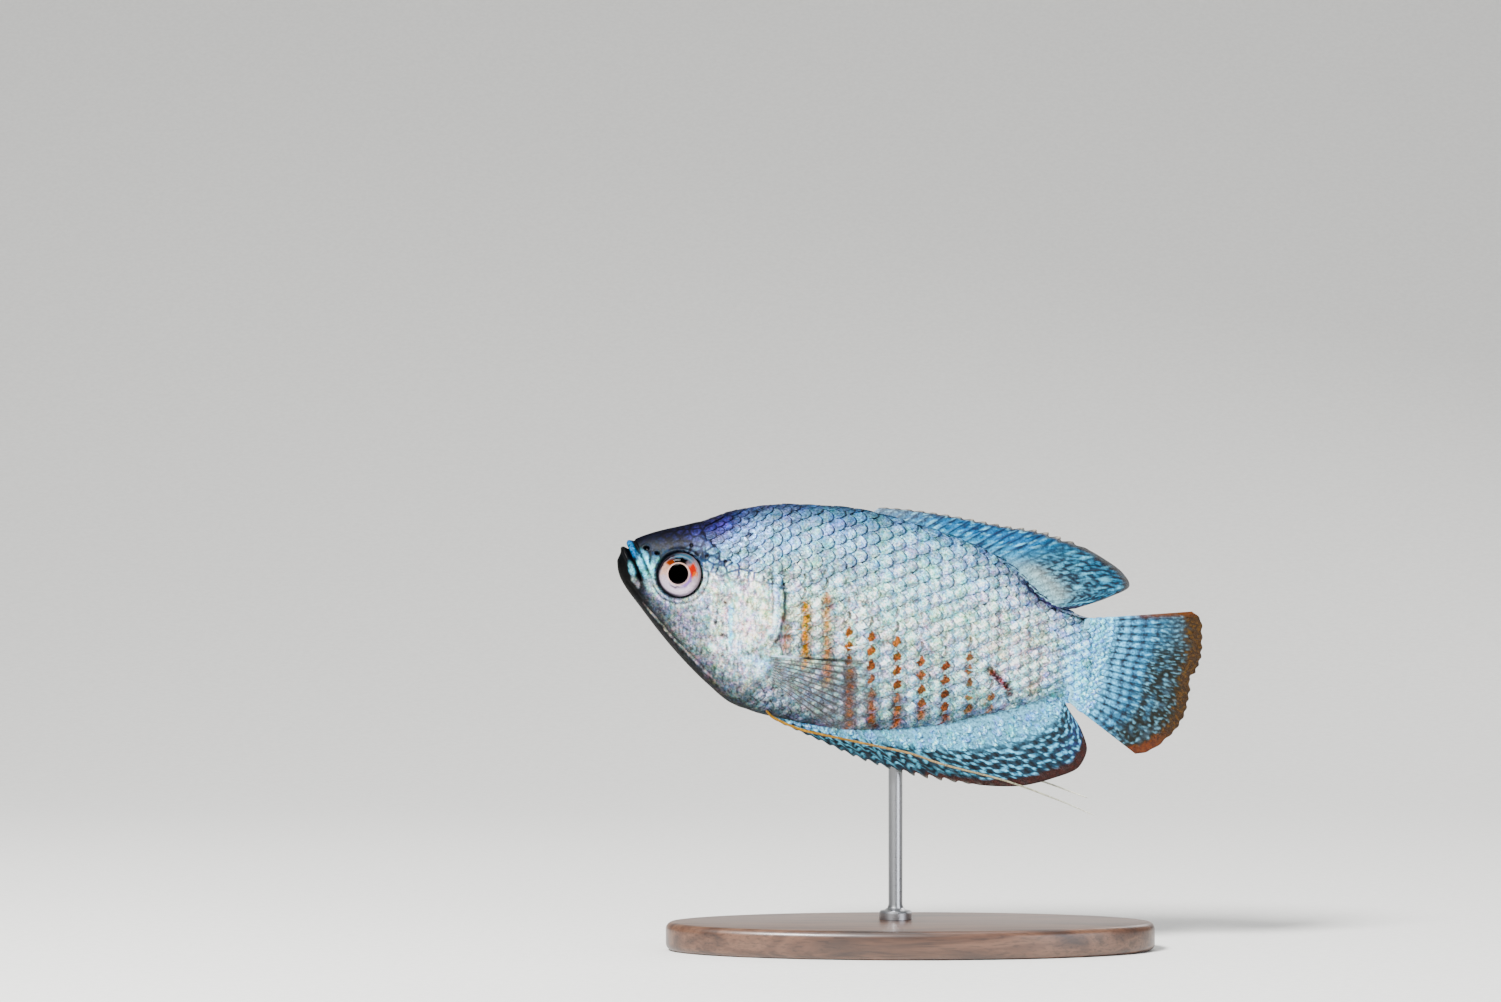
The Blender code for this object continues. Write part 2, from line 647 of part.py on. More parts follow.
def parted(body, sheets, collection):
    """The body cut along the sheets into its separate closed pieces, largest first."""
    for sheet in sheets:
        carve(body, sheet)
    bpy.context.view_layer.update()
    whole = as_mesh(body)
    groups = sorted(loose_parts(whole), key=lambda faces: -volume_of(whole, faces))
    pieces = []
    for faces in groups:
        mesh = whole.copy()
        keep_only(mesh, faces)
        pieces.append(new_object("piece", mesh, collection))
    bpy.data.objects.remove(body)
    bpy.data.meshes.remove(whole)
    return pieces


def stand_base(collection):
    """A flat oval plate with a bevelled edge."""
    shape = bmesh.new()
    bmesh.ops.create_cone(shape, cap_ends=True, segments=BASE_SIDES, radius1=0.5, radius2=0.5, depth=1.0)
    shape.transform(Matrix.Diagonal((BASE_LENGTH, BASE_BREADTH, BASE_THICKNESS, 1.0)))
    base = object_of("stand_base", shape, collection)
    base.location.z = BASE_THICKNESS / 2
    edge = base.modifiers.new("edge", "BEVEL")
    edge.width = BASE_BEVEL
    edge.segments = 3
    edge.limit_method = "ANGLE"
    edge.angle_limit = math.radians(40)
    return base


def stand_rod(grown_body, collection):
    """A rod with a collar at its foot, turned from one profile and cut where it meets the belly."""
    profile = [(0.0, ROD_TOP_HEIGHT), (ROD_RADIUS, ROD_TOP_HEIGHT), (ROD_RADIUS, COLLAR_HEIGHT * 1.6),
               (ROD_RADIUS * 1.35, COLLAR_HEIGHT), (COLLAR_RADIUS * 0.9, COLLAR_HEIGHT),
               (COLLAR_RADIUS, COLLAR_HEIGHT * 0.75), (COLLAR_RADIUS, 0.0), (0.0, 0.0)]
    shape = bmesh.new()
    line = [shape.verts.new((r, 0, h)) for r, h in profile]
    edges = [shape.edges.new(pair) for pair in zip(line, line[1:])]
    bmesh.ops.spin(shape, geom=line + edges, cent=(0, 0, 0), axis=(0, 0, 1), angle=2 * math.pi, steps=20,
                   use_merge=True)
    bmesh.ops.remove_doubles(shape, verts=shape.verts, dist=0.001 * MM)
    bmesh.ops.recalc_face_normals(shape, faces=shape.faces)
    rod = object_of("stand_rod", shape, collection)
    x, z = (value * MM for value in ROD_UNDER)
    along = -HALF_REACH + x * math.cos(NOSE_UP) + z * math.sin(NOSE_UP)
    rod.location = (along, ROD_SIDE, BASE_THICKNESS + GAP)
    bpy.context.view_layer.update()
    carve(rod, grown_body)
    return settle(rod)


def finish_named(name):
    """A material with a Principled BSDF for one of the finishes."""
    colour, roughness, metallic = FINISHES[name]
    material = bpy.data.materials.get(name) or bpy.data.materials.new(name)
    material.use_nodes = True
    shader = material.node_tree.nodes["Principled BSDF"]
    shader.inputs["Base Color"].default_value = (*colour, 1.0)
    shader.inputs["Roughness"].default_value = roughness
    shader.inputs["Metallic"].default_value = metallic
    return material


def dress(thing, finish):
    """Gives the object its one material and smooth shading."""
    thing.data.materials.clear()
    thing.data.materials.append(finish_named(finish))
    thing.data.shade_smooth()
    thing.data.set_sharp_from_angle(angle=SHARP_ANGLE)


def main():
    """Builds the fish and its stand."""
    for thing in list(bpy.data.objects):
        bpy.data.objects.remove(thing)
    model = bpy.data.collections.new("dwarf_gourami")
    cutters = bpy.data.collections.new("cutters")
    for group in (model, cutters):
        bpy.context.scene.collection.children.link(group)

    pose = new_object("fish_pose", None, model)
    pose.location = (-HALF_REACH, 0.0, SNOUT_HEIGHT)
    pose.rotation_euler = (0.0, NOSE_UP, 0.0)

    clearance = body_form("body_clearance", cutters, grow=GAP)
    raised = body_form("body_raised", cutters, grow=GILL_RISE)
    core_span = (GILL_CORE_START, GILL_CORE_END, GILL_CORE_STATIONS)
    plate_core = body_form("plate_core", cutters, GILL_RISE - GILL_PLATE, *core_span)
    recess_core = body_form("recess_core", cutters, GILL_RISE - GILL_PLATE - GAP, *core_span)

    sheets = [cut_sheet("gill_cut", smooth_line(GILL_CUT, 15), cutters),
              cut_sheet("stalk_cut", smooth_line(STALK_CUT, 7), cutters),
              cut_sheet("lip_cut", LIP_CUT, cutters),
              cut_sheet("mouth_cut", MOUTH_CUT, cutters)]
    body = body_form("body", model)
    join_pieces(body, [lip_roll("upper_lip", UPPER_LIP, UPPER_LIP_RADIUS, model),
                       lip_roll("lower_lip", LOWER_LIP, LOWER_LIP_RADIUS, model),
                       orbit_rim("orbit_rim_left", -1, model),
                       orbit_rim("orbit_rim_right", 1, model)])
    pieces = parted(body, sheets, model)
    trunk, head, stalk = pieces[:3]
    jaws = sorted(pieces[3:5], key=lambda piece: -volume_of(piece.data, range(len(piece.data.polygons))))
    for scrap in pieces[5:]:
        bpy.data.objects.remove(scrap)
    for thing, name in ((trunk, "trunk"), (head, "head"), (stalk, "tail_stalk"), (jaws[0], "lower_jaw"),
                        (jaws[1], "upper_jaw")):
        thing.name = name

    fish = {"trunk": (trunk, "scales"), "tail_stalk": (stalk, "scales"), "head": (head, "back"),
            "lower_jaw": (jaws[0], "back"), "upper_jaw": (jaws[1], "back")}
    pits = []
    for side, word in ((-1, "left"), (1, "right")):
        plate, recess = gill_cover("gill_cover_" + word, side, raised, plate_core, model, cutters)
        fish[plate.name] = (plate, "scales")
        carve(recess, recess_core)
        settle(recess)
        carve(head, recess)
        carve(trunk, recess)
        for number, nostril in enumerate(NOSTRILS):
            pits.append(nostril_pit(f"nostril_{word}_{number}", nostril, side, cutters))
    settle(head)
    settle(trunk)
    for side, word in ((-1, "left"), (1, "right")):
        carve(head, eye_ball("eye_socket_" + word, side, GAP, cutters, False))
        eye = eye_ball("eye_" + word, side, 0.0, model, True)
        fish[eye.name] = (eye, "eye")
    for pit in pits:
        carve(head, pit)
    settle(head)

    dorsal = median_fin("dorsal_fin", DORSAL_RAYS, DORSAL_ROOT, DORSAL_TIPS, back, -1, 6, model)
    anal = median_fin("anal_fin", ANAL_RAYS, ANAL_ROOT, ANAL_TIPS, belly, 1, 6, model)
    tail = tail_fin("tail_fin", model)
    fins = [(dorsal, "fins"), (anal, "fins"), (tail, "fins"),
            (pectoral_fin("pectoral_fin_left", -1, model), "clear fins"),
            (pectoral_fin("pectoral_fin_right", 1, model), "clear fins"),
            (feeler("feeler_left", LEFT_FEELER, -1, model), "feelers"),
            (feeler("feeler_right", RIGHT_FEELER, 1, model), "feelers")]
    for thing, finish in fins:
        carve(thing, clearance)
        settle(thing)
        fish[thing.name] = (thing, finish)

    for thing, finish in fish.values():
        thing.parent = pose
        dress(thing, finish)
    clearance.parent = pose
    bpy.context.view_layer.update()
    dress(stand_rod(clearance, model), "steel")
    dress(stand_base(model), "walnut")
    for cutter in cutters.objects:
        cutter.hide_render = True
        cutter.display_type = "WIRE"


if __name__ == "__main__":
    main()
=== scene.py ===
"""The looks of a life-size dwarf gourami on its display stand.

Everything about the fish is worked out in its own frame, in millimetres: x runs from the tip of the lower
jaw back to the tail, z is up and y is across, with the fish's left side at -y. FishFrame then pitches it nose
up and puts it over the stand, in metres.
"""

import logging
import math
from dataclasses import dataclass, field
from enum import Enum

import bmesh
import bpy
import numpy as np
from mathutils import Matrix, Vector, noise


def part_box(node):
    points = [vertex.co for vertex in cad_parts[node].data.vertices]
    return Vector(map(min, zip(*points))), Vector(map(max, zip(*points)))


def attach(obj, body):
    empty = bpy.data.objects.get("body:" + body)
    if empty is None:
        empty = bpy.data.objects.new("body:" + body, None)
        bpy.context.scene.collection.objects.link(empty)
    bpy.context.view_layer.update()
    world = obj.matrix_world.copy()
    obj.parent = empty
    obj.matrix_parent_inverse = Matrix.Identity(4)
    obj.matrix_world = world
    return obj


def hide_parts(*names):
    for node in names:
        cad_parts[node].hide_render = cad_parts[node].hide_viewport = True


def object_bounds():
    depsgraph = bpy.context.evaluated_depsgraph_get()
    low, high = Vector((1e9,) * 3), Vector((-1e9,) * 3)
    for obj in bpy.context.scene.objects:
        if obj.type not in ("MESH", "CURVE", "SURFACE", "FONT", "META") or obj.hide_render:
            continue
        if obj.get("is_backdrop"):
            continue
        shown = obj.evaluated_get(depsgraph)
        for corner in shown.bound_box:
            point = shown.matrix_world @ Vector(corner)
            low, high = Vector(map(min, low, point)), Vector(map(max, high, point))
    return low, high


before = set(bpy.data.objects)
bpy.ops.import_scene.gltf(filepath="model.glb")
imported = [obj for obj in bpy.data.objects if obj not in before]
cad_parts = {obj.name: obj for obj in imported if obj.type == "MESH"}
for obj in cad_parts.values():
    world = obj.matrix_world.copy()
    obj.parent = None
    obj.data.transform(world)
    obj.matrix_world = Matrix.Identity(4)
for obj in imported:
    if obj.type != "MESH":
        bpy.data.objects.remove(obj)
CAD_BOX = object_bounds()

Array = np.ndarray
Mesh = bpy.types.Mesh
Object = bpy.types.Object
Material = bpy.types.Material
Node = bpy.types.Node
Socket = bpy.types.NodeSocket
Tree = bpy.types.NodeTree
Points = list[tuple[float, float]]
# Colours along a scale: each one's place, and its sRGB hex code
Stops = list[tuple[float, str]]
# Colours to lay over others: how much of each covers every place, and its sRGB hex code
Layers = list[tuple[Array, str]]

MM = 0.001
# Vertices nearer than this, in millimetres, are one
WELD = 0.0005
# How much darker and more vivid than its look a surface is painted: the power and the share of its
# brightness, and how far its colour moves away from grey
PAINT_DEPTH = 1.5
PAINT_SHARE = 0.86
VIVID = 1.28
# The body that every piece rides on
BODY = "root"
# What the random draws for the scales at the fins' roots start from
FIN_SEED = 51
LOG = logging.getLogger("dwarf_gourami")


class Side(Enum):
    """The two sides of the fish, by the sign of y."""

    LEFT = -1
    RIGHT = 1


def smooth(low: float, high: float, value: Array) -> Array:
    """A soft step.

    Args:
        low: Where the step starts, at 0.
        high: Where it ends, at 1. It may be below low, for a step that falls.
        value: The places to read it at.

    Returns:
        The step's height at each place.
    """
    share = np.clip((value - low) / (high - low), 0.0, 1.0)
    return share * share * (3.0 - 2.0 * share)


def hump(value: Array, centre: float, width: float) -> Array:
    """A bell curve of height 1 about a centre."""
    return np.exp(-(((value - centre) / width) ** 2))


def grain(points: Array, size: float, seed: int = 0) -> Array:
    """Soft random relief.

    Args:
        points: Places, as an array of three columns in millimetres.
        size: The width of one swell, in millimetres.
        seed: Which relief.

    Returns:
        Values from about -1 to 1.
    """
    shift = 31.7 * seed
    return np.array([noise.noise((x + shift, y, z)) for x, y, z in points / size])


def linear(code: str) -> Array:
    """An sRGB hex colour such as #C0D0E0 as linear red, green and blue."""
    values = np.array([int(code[k:k + 2], 16) / 255.0 for k in (1, 3, 5)])
    return np.where(values <= 0.04045, values / 12.92, ((values + 0.055) / 1.055) ** 2.4)


def deepen(colours: Array) -> Array:
    """Paint for a surface that is to look like these colours in bright soft light: darker and more vivid.

    Args:
        colours: Rows of linear red, green and blue.

    Returns:
        Rows of the same colours as paint.
    """
    grey = colours.mean(axis=-1, keepdims=True)
    vivid = np.clip(grey + VIVID * (colours - grey), 0.0, 1.0)
    level = np.maximum(colours.max(axis=-1, keepdims=True), 0.001)
    return PAINT_SHARE * vivid * level ** (PAINT_DEPTH - 1)


def mix(base: Array, *layers: tuple[Array, str]) -> Array:
    """Lays colours over rows of colours, one after the other, each as far as its cover says."""
    for cover, code in layers:
        amount = np.clip(cover, 0.0, 1.0)[:, None]
        base = base * (1 - amount) + linear(code) * amount
    return base


def plain_rows(code: str, count: int) -> Array:
    """Rows of one colour."""
    return np.repeat(linear(code)[None, :], count, axis=0)


class Line:
    """A smooth function through (place, value) points that never overshoots them."""

    def __init__(self, points: Points) -> None:
        """Works out the slope at each point from its neighbours'."""
        self.places, self.values = np.array(points, float).T
        rises = np.diff(self.values) / np.diff(self.places)
        self.slopes = np.concatenate(([rises[0]], np.zeros(len(points) - 2), [rises[-1]]))
        product = rises[:-1] * rises[1:]
        total = np.where(product > 0, rises[:-1] + rises[1:], 1.0)
        self.slopes[1:-1] = np.where(product > 0, 2.0 * product / total, 0.0)

    def __call__(self, place: Array) -> Array:
        """The value at each place."""
        place = np.clip(place, self.places[0], self.places[-1])
        i = np.clip(np.searchsorted(self.places, place, side="right") - 1, 0, len(self.places) - 2)
        run = self.places[i + 1] - self.places[i]
        t = (place - self.places[i]) / run
        start = (1 + 2 * t) * (1 - t) ** 2 * self.values[i] + t * (1 - t) ** 2 * run * self.slopes[i]
        end = t * t * (3 - 2 * t) * self.values[i + 1] + t * t * (t - 1) * run * self.slopes[i + 1]
        return start + end


def line_field(points: Points) -> Line:
    """A dataclass field that holds the line through these points."""
    return field(default_factory=lambda: Line(points))


class Ramp:
    """Colours along a scale from 0 to 1, mixed between the named ones."""

    def __init__(self, stops: Stops) -> None:
        """Takes (place, sRGB hex colour) stops in order."""
        self.places = np.array([place for place, _ in stops])
        self.colours = np.array([linear(code) for _, code in stops])

    def __call__(self, place: Array) -> Array:
        """The colour at each place, as rows of red, green and blue."""
        return np.stack([np.interp(place, self.places, self.colours[:, k]) for k in range(3)], axis=-1)


def along(line: Points, x: Array, z: Array) -> tuple[Array, Array]:
    """Where places lie beside a line of the side view.

    Args:
        line: The line's points, in order.
        x: The places' distances behind the jaw tip.
        z: The places' heights.

    Returns:
        The signed distance, positive on the left of the way along, and the share of the way, from 0 to 1.
    """
    spots = np.array(line, float)
    steps = np.hypot(*np.diff(spots, axis=0).T)
    best = np.full(np.shape(x), np.inf)
    signed = np.zeros(np.shape(x))
    share = np.zeros(np.shape(x))
    for k, (start, end) in enumerate(zip(spots, spots[1:])):
        run = end - start
        t = np.clip(((x - start[0]) * run[0] + (z - start[1]) * run[1]) / (run @ run), 0.0, 1.0)
        aside_x = x - start[0] - t * run[0]
        aside_z = z - start[1] - t * run[1]
        away = np.hypot(aside_x, aside_z)
        nearer = away < best
        best = np.where(nearer, away, best)
        signed = np.where(nearer, np.where(run[0] * aside_z - run[1] * aside_x >= 0, away, -away), signed)
        share = np.where(nearer, (steps[:k].sum() + t * steps[k]) / steps.sum(), share)
    return signed, share


@dataclass(frozen=True)
class Spot:
    """An oval patch of colour in the side view. Sizes are half its length and breadth in millimetres."""

    x: float
    z: float
    long: float
    short: float
    turn: float
    colour: str
    strength: float = 1.0
    soft: float = 0.5

    def cover(self, x: Array, z: Array) -> Array:
        """How much of the patch's colour lies at each place."""
        turn = math.radians(self.turn)
        u = ((x - self.x) * math.cos(turn) + (z - self.z) * math.sin(turn)) / self.long
        v = ((z - self.z) * math.cos(turn) - (x - self.x) * math.sin(turn)) / self.short
        return self.strength * smooth(1.0 + self.soft, 1.0 - self.soft, np.hypot(u, v))


@dataclass(frozen=True)
class Stroke:
    """A drawn line of colour in the side view. Width is in millimetres."""

    line: Points
    width: float
    colour: str
    strength: float = 1.0
    soft: float = 0.6

    def cover(self, x: Array, z: Array) -> Array:
        """How much of the line's colour lies at each place."""
        away, share = along(self.line, x, z)
        ends = smooth(0.0, 0.12, share) * smooth(1.0, 0.88, share)
        half = self.width / 2
        full = smooth(half * (1 + self.soft), half * (1 - self.soft), abs(away))
        return self.strength * (0.4 + 0.6 * ends) * full


class FishFrame:
    """Carries the fish from its own frame to its place over the stand."""

    NOSE_UP = math.radians(12.0)
    HALF_REACH = 37.25
    SNOUT_HEIGHT = 49.0
    LEAN = math.tan(NOSE_UP)
    matrix = (Matrix.Translation((-HALF_REACH * MM, 0.0, SNOUT_HEIGHT * MM))
              @ Matrix.Rotation(NOSE_UP, 4, "Y") @ Matrix.Scale(MM, 4))

    @classmethod
    def to_world(cls, points: Array) -> Array:
        """Rows of fish millimetres as rows of world metres."""
        move = np.array(cls.matrix)
        return points @ move[:3, :3].T + move[:3, 3]


def unit(vectors: Array) -> Array:
    """Rows of vectors, each at length 1."""
    return vectors / np.maximum(np.linalg.norm(vectors, axis=-1, keepdims=True), 1e-12)


def run_length(curve: Array) -> Array:
    """How far along a curve of points each one lies."""
    return np.concatenate(([0.0], np.cumsum(np.linalg.norm(np.diff(curve, axis=0), axis=1))))


def from_shape(shape: bmesh.types.BMesh, name: str) -> Mesh:
    """A finished shape as a mesh."""
    mesh = bpy.data.meshes.new(name)
    shape.to_mesh(mesh)
    shape.free()
    return mesh


def in_scene(name: str, data: bpy.types.ID) -> Object:
    """A new object of the scene with this data."""
    made = bpy.data.objects.new(name, data)
    bpy.context.scene.collection.objects.link(made)
    return made


def new_vertices(grown: dict) -> list[bmesh.types.BMVert]:
    """The vertices among what an operator made."""
    return [item for item in grown["geom"] if isinstance(item, bmesh.types.BMVert)]


def grid(columns: int, rows: int, deep: bool = False) -> Mesh:
    """A flat grid from 0 to 1 along x and y, or if deep a closed slab, one cell thick from 0 to 1 along z."""
    shape = bmesh.new()
    bmesh.ops.create_grid(shape, x_segments=columns, y_segments=rows, size=0.5)
    bmesh.ops.translate(shape, verts=shape.verts, vec=(0.5, 0.5, 0.0))
    if deep:
        top = new_vertices(bmesh.ops.extrude_face_region(shape, geom=shape.faces[:]))
        bmesh.ops.translate(shape, verts=top, vec=(0.0, 0.0, 1.0))
        bmesh.ops.recalc_face_normals(shape, faces=shape.faces)
    return from_shape(shape, "grid")


def corners(mesh: Mesh) -> Array:
    """The mesh's vertices as rows."""
    flat = np.empty(len(mesh.vertices) * 3, np.float32)
    mesh.vertices.foreach_get("co", flat)
    return flat.reshape(-1, 3).astype(float)


def spread_uv(mesh: Mesh, name: str, places: Array) -> None:
    """Gives the mesh a UV map from one place for each vertex."""
    owners = np.empty(len(mesh.loops), np.int32)
    mesh.loops.foreach_get("vertex_index", owners)
    layer = mesh.uv_layers.new(name=name)
    layer.data.foreach_set("uv", places[owners].astype(np.float32).ravel())


def store(mesh: Mesh, name: str, rows: Array) -> None:
    """Stores four numbers for each vertex as a colour attribute."""
    layer = mesh.color_attributes.new(name=name, type="FLOAT_COLOR", domain="POINT")
    layer.data.foreach_set("color", rows.astype(np.float32).ravel())


def paint(mesh: Mesh, colours: Array, fourth: Array | float = 1.0, name: str = "tint") -> None:
    """Stores a colour for each vertex as an attribute.

    Args:
        mesh: The mesh.
        colours: The look of each vertex, as rows of red, green and blue.
        fourth: What alpha holds for each vertex.
        name: The attribute's name.
    """
    alpha = np.clip(fourth, 0.0, 1.0) * np.ones(len(colours))
    store(mesh, name, np.concatenate([deepen(np.clip(colours, 0.0, 1.0)), alpha[:, None]], axis=1))


def shape_piece(name: str, mesh: Mesh, points: Array, weld: bool = True) -> Object:
    """Moves a closed mesh's vertices to their places and makes it an object of the fish, its faces outward.

    Args:
        name: The piece's name.
        mesh: The mesh, with its UV maps and colours.
        points: One place for each vertex, in fish millimetres.
        weld: True to close a seam and the poles, where vertices meet.

    Returns:
        The object, which rides on the model.
    """
    mesh.vertices.foreach_set("co", FishFrame.to_world(points).astype(np.float32).ravel())
    shape = bmesh.new()
    shape.from_mesh(mesh)
    if weld:
        bmesh.ops.remove_doubles(shape, verts=shape.verts, dist=WELD * MM)
    bmesh.ops.recalc_face_normals(shape, faces=shape.faces)
    shape.to_mesh(mesh)
    shape.free()
    mesh.shade_smooth()
    mesh.name = name
    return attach(in_scene(name, mesh), BODY)


def put(tree: Tree, node: Node, values: dict) -> None:
    """Sets and links a node.

    Args:
        tree: The material's nodes.
        node: The node.
        values: By an input's name or number, its constant or what feeds it, which is an output, or a node for
            the first of its outputs in use. By any other name, a setting of the node.
    """
    for name, value in values.items():
        if isinstance(value, Node):
            value = next(output for output in value.outputs if output.enabled)
        if isinstance(value, Socket):
            tree.links.new(value, node.inputs[name])
        elif isinstance(name, int) or name in node.inputs:
            node.inputs[name].default_value = value
        else:
            setattr(node, name, value)


def add_node(tree: Tree, kind: str, values: dict) -> Node:
    """Adds a node of a kind, such as Bump, with its settings and links as put takes them."""
    node = tree.nodes.new("ShaderNode" + kind)
    put(tree, node, values)
    return node


def set_ramp(node: Node, stops: Stops) -> Node:
    """Gives a colour ramp its stops, and returns it."""
    ramp = node.color_ramp
    while len(ramp.elements) > 1:
        ramp.elements.remove(ramp.elements[-1])
    ramp.elements[0].position = stops[0][0]
    ramp.elements[0].color = (*linear(stops[0][1]), 1.0)
    for place, code in stops[1:]:
        ramp.elements.new(place).color = (*linear(code), 1.0)
    return node


def grains_of(millimetres: float) -> float:
    """The scale of a texture whose grains are this broad."""
    return 1.0 / (millimetres * MM)


@dataclass(frozen=True)
class Finish:
    """What a surface is made of. Subclasses say what feeds the Principled shader."""

    name: str

    def make(self) -> Material:
        """Builds the material."""
        material = bpy.data.materials.new(self.name)
        material.use_nodes = True
        tree = material.node_tree
        place = add_node(tree, "TexCoord", {}).outputs["Object"]
        put(tree, tree.nodes["Principled BSDF"], self.sockets(tree, place))
        return material

    def sockets(self, tree: Tree, place: Socket) -> dict:
        """What the shader's sockets hold, by name, from the place on the model."""
        raise NotImplementedError


@dataclass(frozen=True)
class FishSkin(Finish):
    """Wet fish skin: clear slime over guanine crystals. Their flashes of cyan, pink and cream are painted into
    the colour grain by grain, as painted glints.
    """

    crystal_mm: float = 0.2
    patch_mm: float = 0.6
    flash: float = 0.6
    play: float = 0.55
    roughness: float = 0.5
    metallic: float = 0.0
    specular: float = 0.06
    coat: float = 0.04
    bump_mm: float = 0.03
    crinkle_mm: float = 0.3
    plated: bool = False
    CRYSTAL_GLINT_HUES = [(0.0, "#7FC4D6"), (0.14, "#8A8D90"), (0.34, "#F4E6D8"), (0.46, "#5E6A70"), (0.6, "#E6D2E4"),
            (0.72, "#FFFFFF"), (0.86, "#A9C9D2")]

    def sockets(self, tree: Tree, place: Socket) -> dict:
        """Reads the piece's tint, and on scales the UV map of a single plate too."""
        tint = add_node(tree, "Attribute", {"attribute_name": "tint"})
        colour = self.plate_pattern(tree, tint, place) if self.plated else self.net(tree, tint, place)
        colour = self.pearl(tree, colour, place)
        # Painted glints: crystals in wavy patches, each painted in one of the pastel hues that a crystal plate
        # reflects
        wave = add_node(tree, "TexNoise", {"Scale": grains_of(0.3), "Vector": place})
        bent = add_node(tree, "VectorMath", {"operation": "MULTIPLY_ADD", 0: wave.outputs["Color"],
                                             1: (0.3 * MM,) * 3, 2: place})
        for size, strength in ((self.patch_mm, 0.5 * self.flash), (self.crystal_mm, self.flash)):
            grains = add_node(tree, "TexVoronoi", {"Scale": grains_of(size), "Vector": bent})
            pick = add_node(tree, "SeparateColor", {"Color": grains.outputs["Color"]})
            glint_hues = set_ramp(add_node(tree, "ValToRGB", {"Fac": pick}), self.CRYSTAL_GLINT_HUES)
            glint_hues.color_ramp.interpolation = "CONSTANT"
            colour = add_node(tree, "Mix", {"data_type": "RGBA", "blend_type": "OVERLAY", 0: strength,
                                            6: colour, 7: glint_hues})
        # Broad unevenness of the pigment, a few millimetres across
        clouds = add_node(tree, "TexNoise", {"Scale": grains_of(2.6), "Detail": 4.0, "Vector": place})
        depth = add_node(tree, "MapRange", {"From Min": 0.3, "From Max": 0.7, "To Min": 0.9, "To Max": 1.1,
                                            "Value": clouds})
        done = add_node(tree, "VectorMath", {"operation": "SCALE", 0: colour, "Scale": depth})
        gloss = add_node(tree, "MapRange", {"To Min": self.roughness - 0.1, "To Max": self.roughness + 0.14,
                                            "Value": pick.outputs["Green"]})
        pits = add_node(tree, "TexNoise", {"Scale": grains_of(self.crinkle_mm), "Detail": 3.0,
                                           "Vector": place})
        relief = add_node(tree, "Bump", {"Strength": 0.5, "Distance": self.bump_mm * MM, "Height": pits})
        return {"Base Color": done, "Roughness": gloss, "Normal": relief, "Metallic": self.metallic,
                "Coat Weight": self.coat, "Coat Roughness": 0.36, "IOR": 1.4,
                "Specular IOR Level": self.specular}

    def pearl(self, tree: Tree, colour: Node, place: Socket) -> Node:
        """The colour with a painted pearly sheen over it: a soft play of hues, in clouds of half a millimetre to
        two millimetres.
        """
        for size, strength in ((1.9, 0.85 * self.play), (0.75, self.play)):
            clouds = add_node(tree, "TexNoise", {"Scale": grains_of(size), "Detail": 3.0, "Distortion": 0.6,
                                                 "Vector": place})
            colour = add_node(tree, "Mix", {"data_type": "RGBA", "blend_type": "OVERLAY", 0: strength,
                                            6: colour, 7: clouds.outputs["Color"]})
        return colour

    @staticmethod
    def net(tree: Tree, tint: Node, place: Socket) -> Node:
        """The tint with a dark net between small sunk scales 1.2 mm across, as strong as the tint's alpha."""
        cells = add_node(tree, "TexVoronoi", {"feature": "DISTANCE_TO_EDGE", "Scale": grains_of(1.2),
                                              "Randomness": 0.8, "Vector": place})
        line = add_node(tree, "MapRange", {"interpolation_type": "SMOOTHSTEP", "From Min": 0.2,
                                           "From Max": 0.05, "Value": cells})
        dark = add_node(tree, "Math", {"operation": "MULTIPLY", 0: line, 1: tint.outputs["Alpha"]})
        return add_node(tree, "Mix", {"data_type": "RGBA", "blend_type": "MULTIPLY", 0: dark, 6: tint,
                                      7: (0.1, 0.12, 0.2, 1.0)})

    @staticmethod
    def oval(tree: Tree, aside: Node, back: Socket, ragged: Node, middle: float, lean: float,
             half: tuple[float, float]) -> Node:
        """A soft oval on a scale, 1 inside and 0 outside.

        Args:
            tree: The material's nodes.
            aside: How far up the scale a place is from its middle, as a share of the scale's breadth.
            back: How far back it is, as a share of the scale's length.
            ragged: What makes the oval's outline uneven.
            middle: Where along the scale the oval's middle is.
            lean: How far back the oval leans for each share of the way up.
            half: Half the oval's breadth and half its length, as shares of the scale's.

        Returns:
            The node that says how far inside a place is.
        """
        tilt = add_node(tree, "Math", {"operation": "MULTIPLY_ADD", 0: aside, 1: -lean, 2: -middle})
        behind = add_node(tree, "Math", {"operation": "ADD", 0: back, 1: tilt})
        u, v = (add_node(tree, "Math", {"operation": "DIVIDE", 0: part, 1: size})
                for part, size in zip((aside, behind), half))
        reach = add_node(tree, "VectorMath", {"operation": "LENGTH",
                                              0: add_node(tree, "CombineXYZ", {"X": u, "Y": v})})
        worn = add_node(tree, "Math", {"operation": "ADD", 0: reach, 1: ragged})
        return add_node(tree, "MapRange", {"interpolation_type": "SMOOTHSTEP", "From Min": 1.25,
                                           "From Max": 0.75, "Value": worn})

    def plate_pattern(self, tree: Tree, tint: Node, place: Socket) -> Node:
        """The colours of one scale: a pale slanting oblong, a painted highlight of the light it mirrors, rust on
        some, and a dark rim.

        Args:
            tree: The material's nodes.
            tint: The attribute with the coat's colour, and in its alpha how dark the rim is.
            place: The place on the model.

        Returns:
            The node whose output is the colour.
        """
        plate = add_node(tree, "UVMap", {"uv_map": "plate"})
        parts = add_node(tree, "SeparateXYZ", {"Vector": plate})
        back = parts.outputs["Y"]
        aside = add_node(tree, "Math", {"operation": "SUBTRACT", 0: parts, 1: 0.5})
        rust = add_node(tree, "Attribute", {"attribute_name": "rust"})
        play = add_node(tree, "Attribute", {"attribute_name": "play"})
        play = add_node(tree, "SeparateColor", {"Color": play})
        swell = add_node(tree, "TexNoise", {"Scale": grains_of(0.5), "Detail": 3.0, "Vector": place})
        ragged = add_node(tree, "MapRange", {"To Min": -0.9, "To Max": 0.9, "Value": swell})
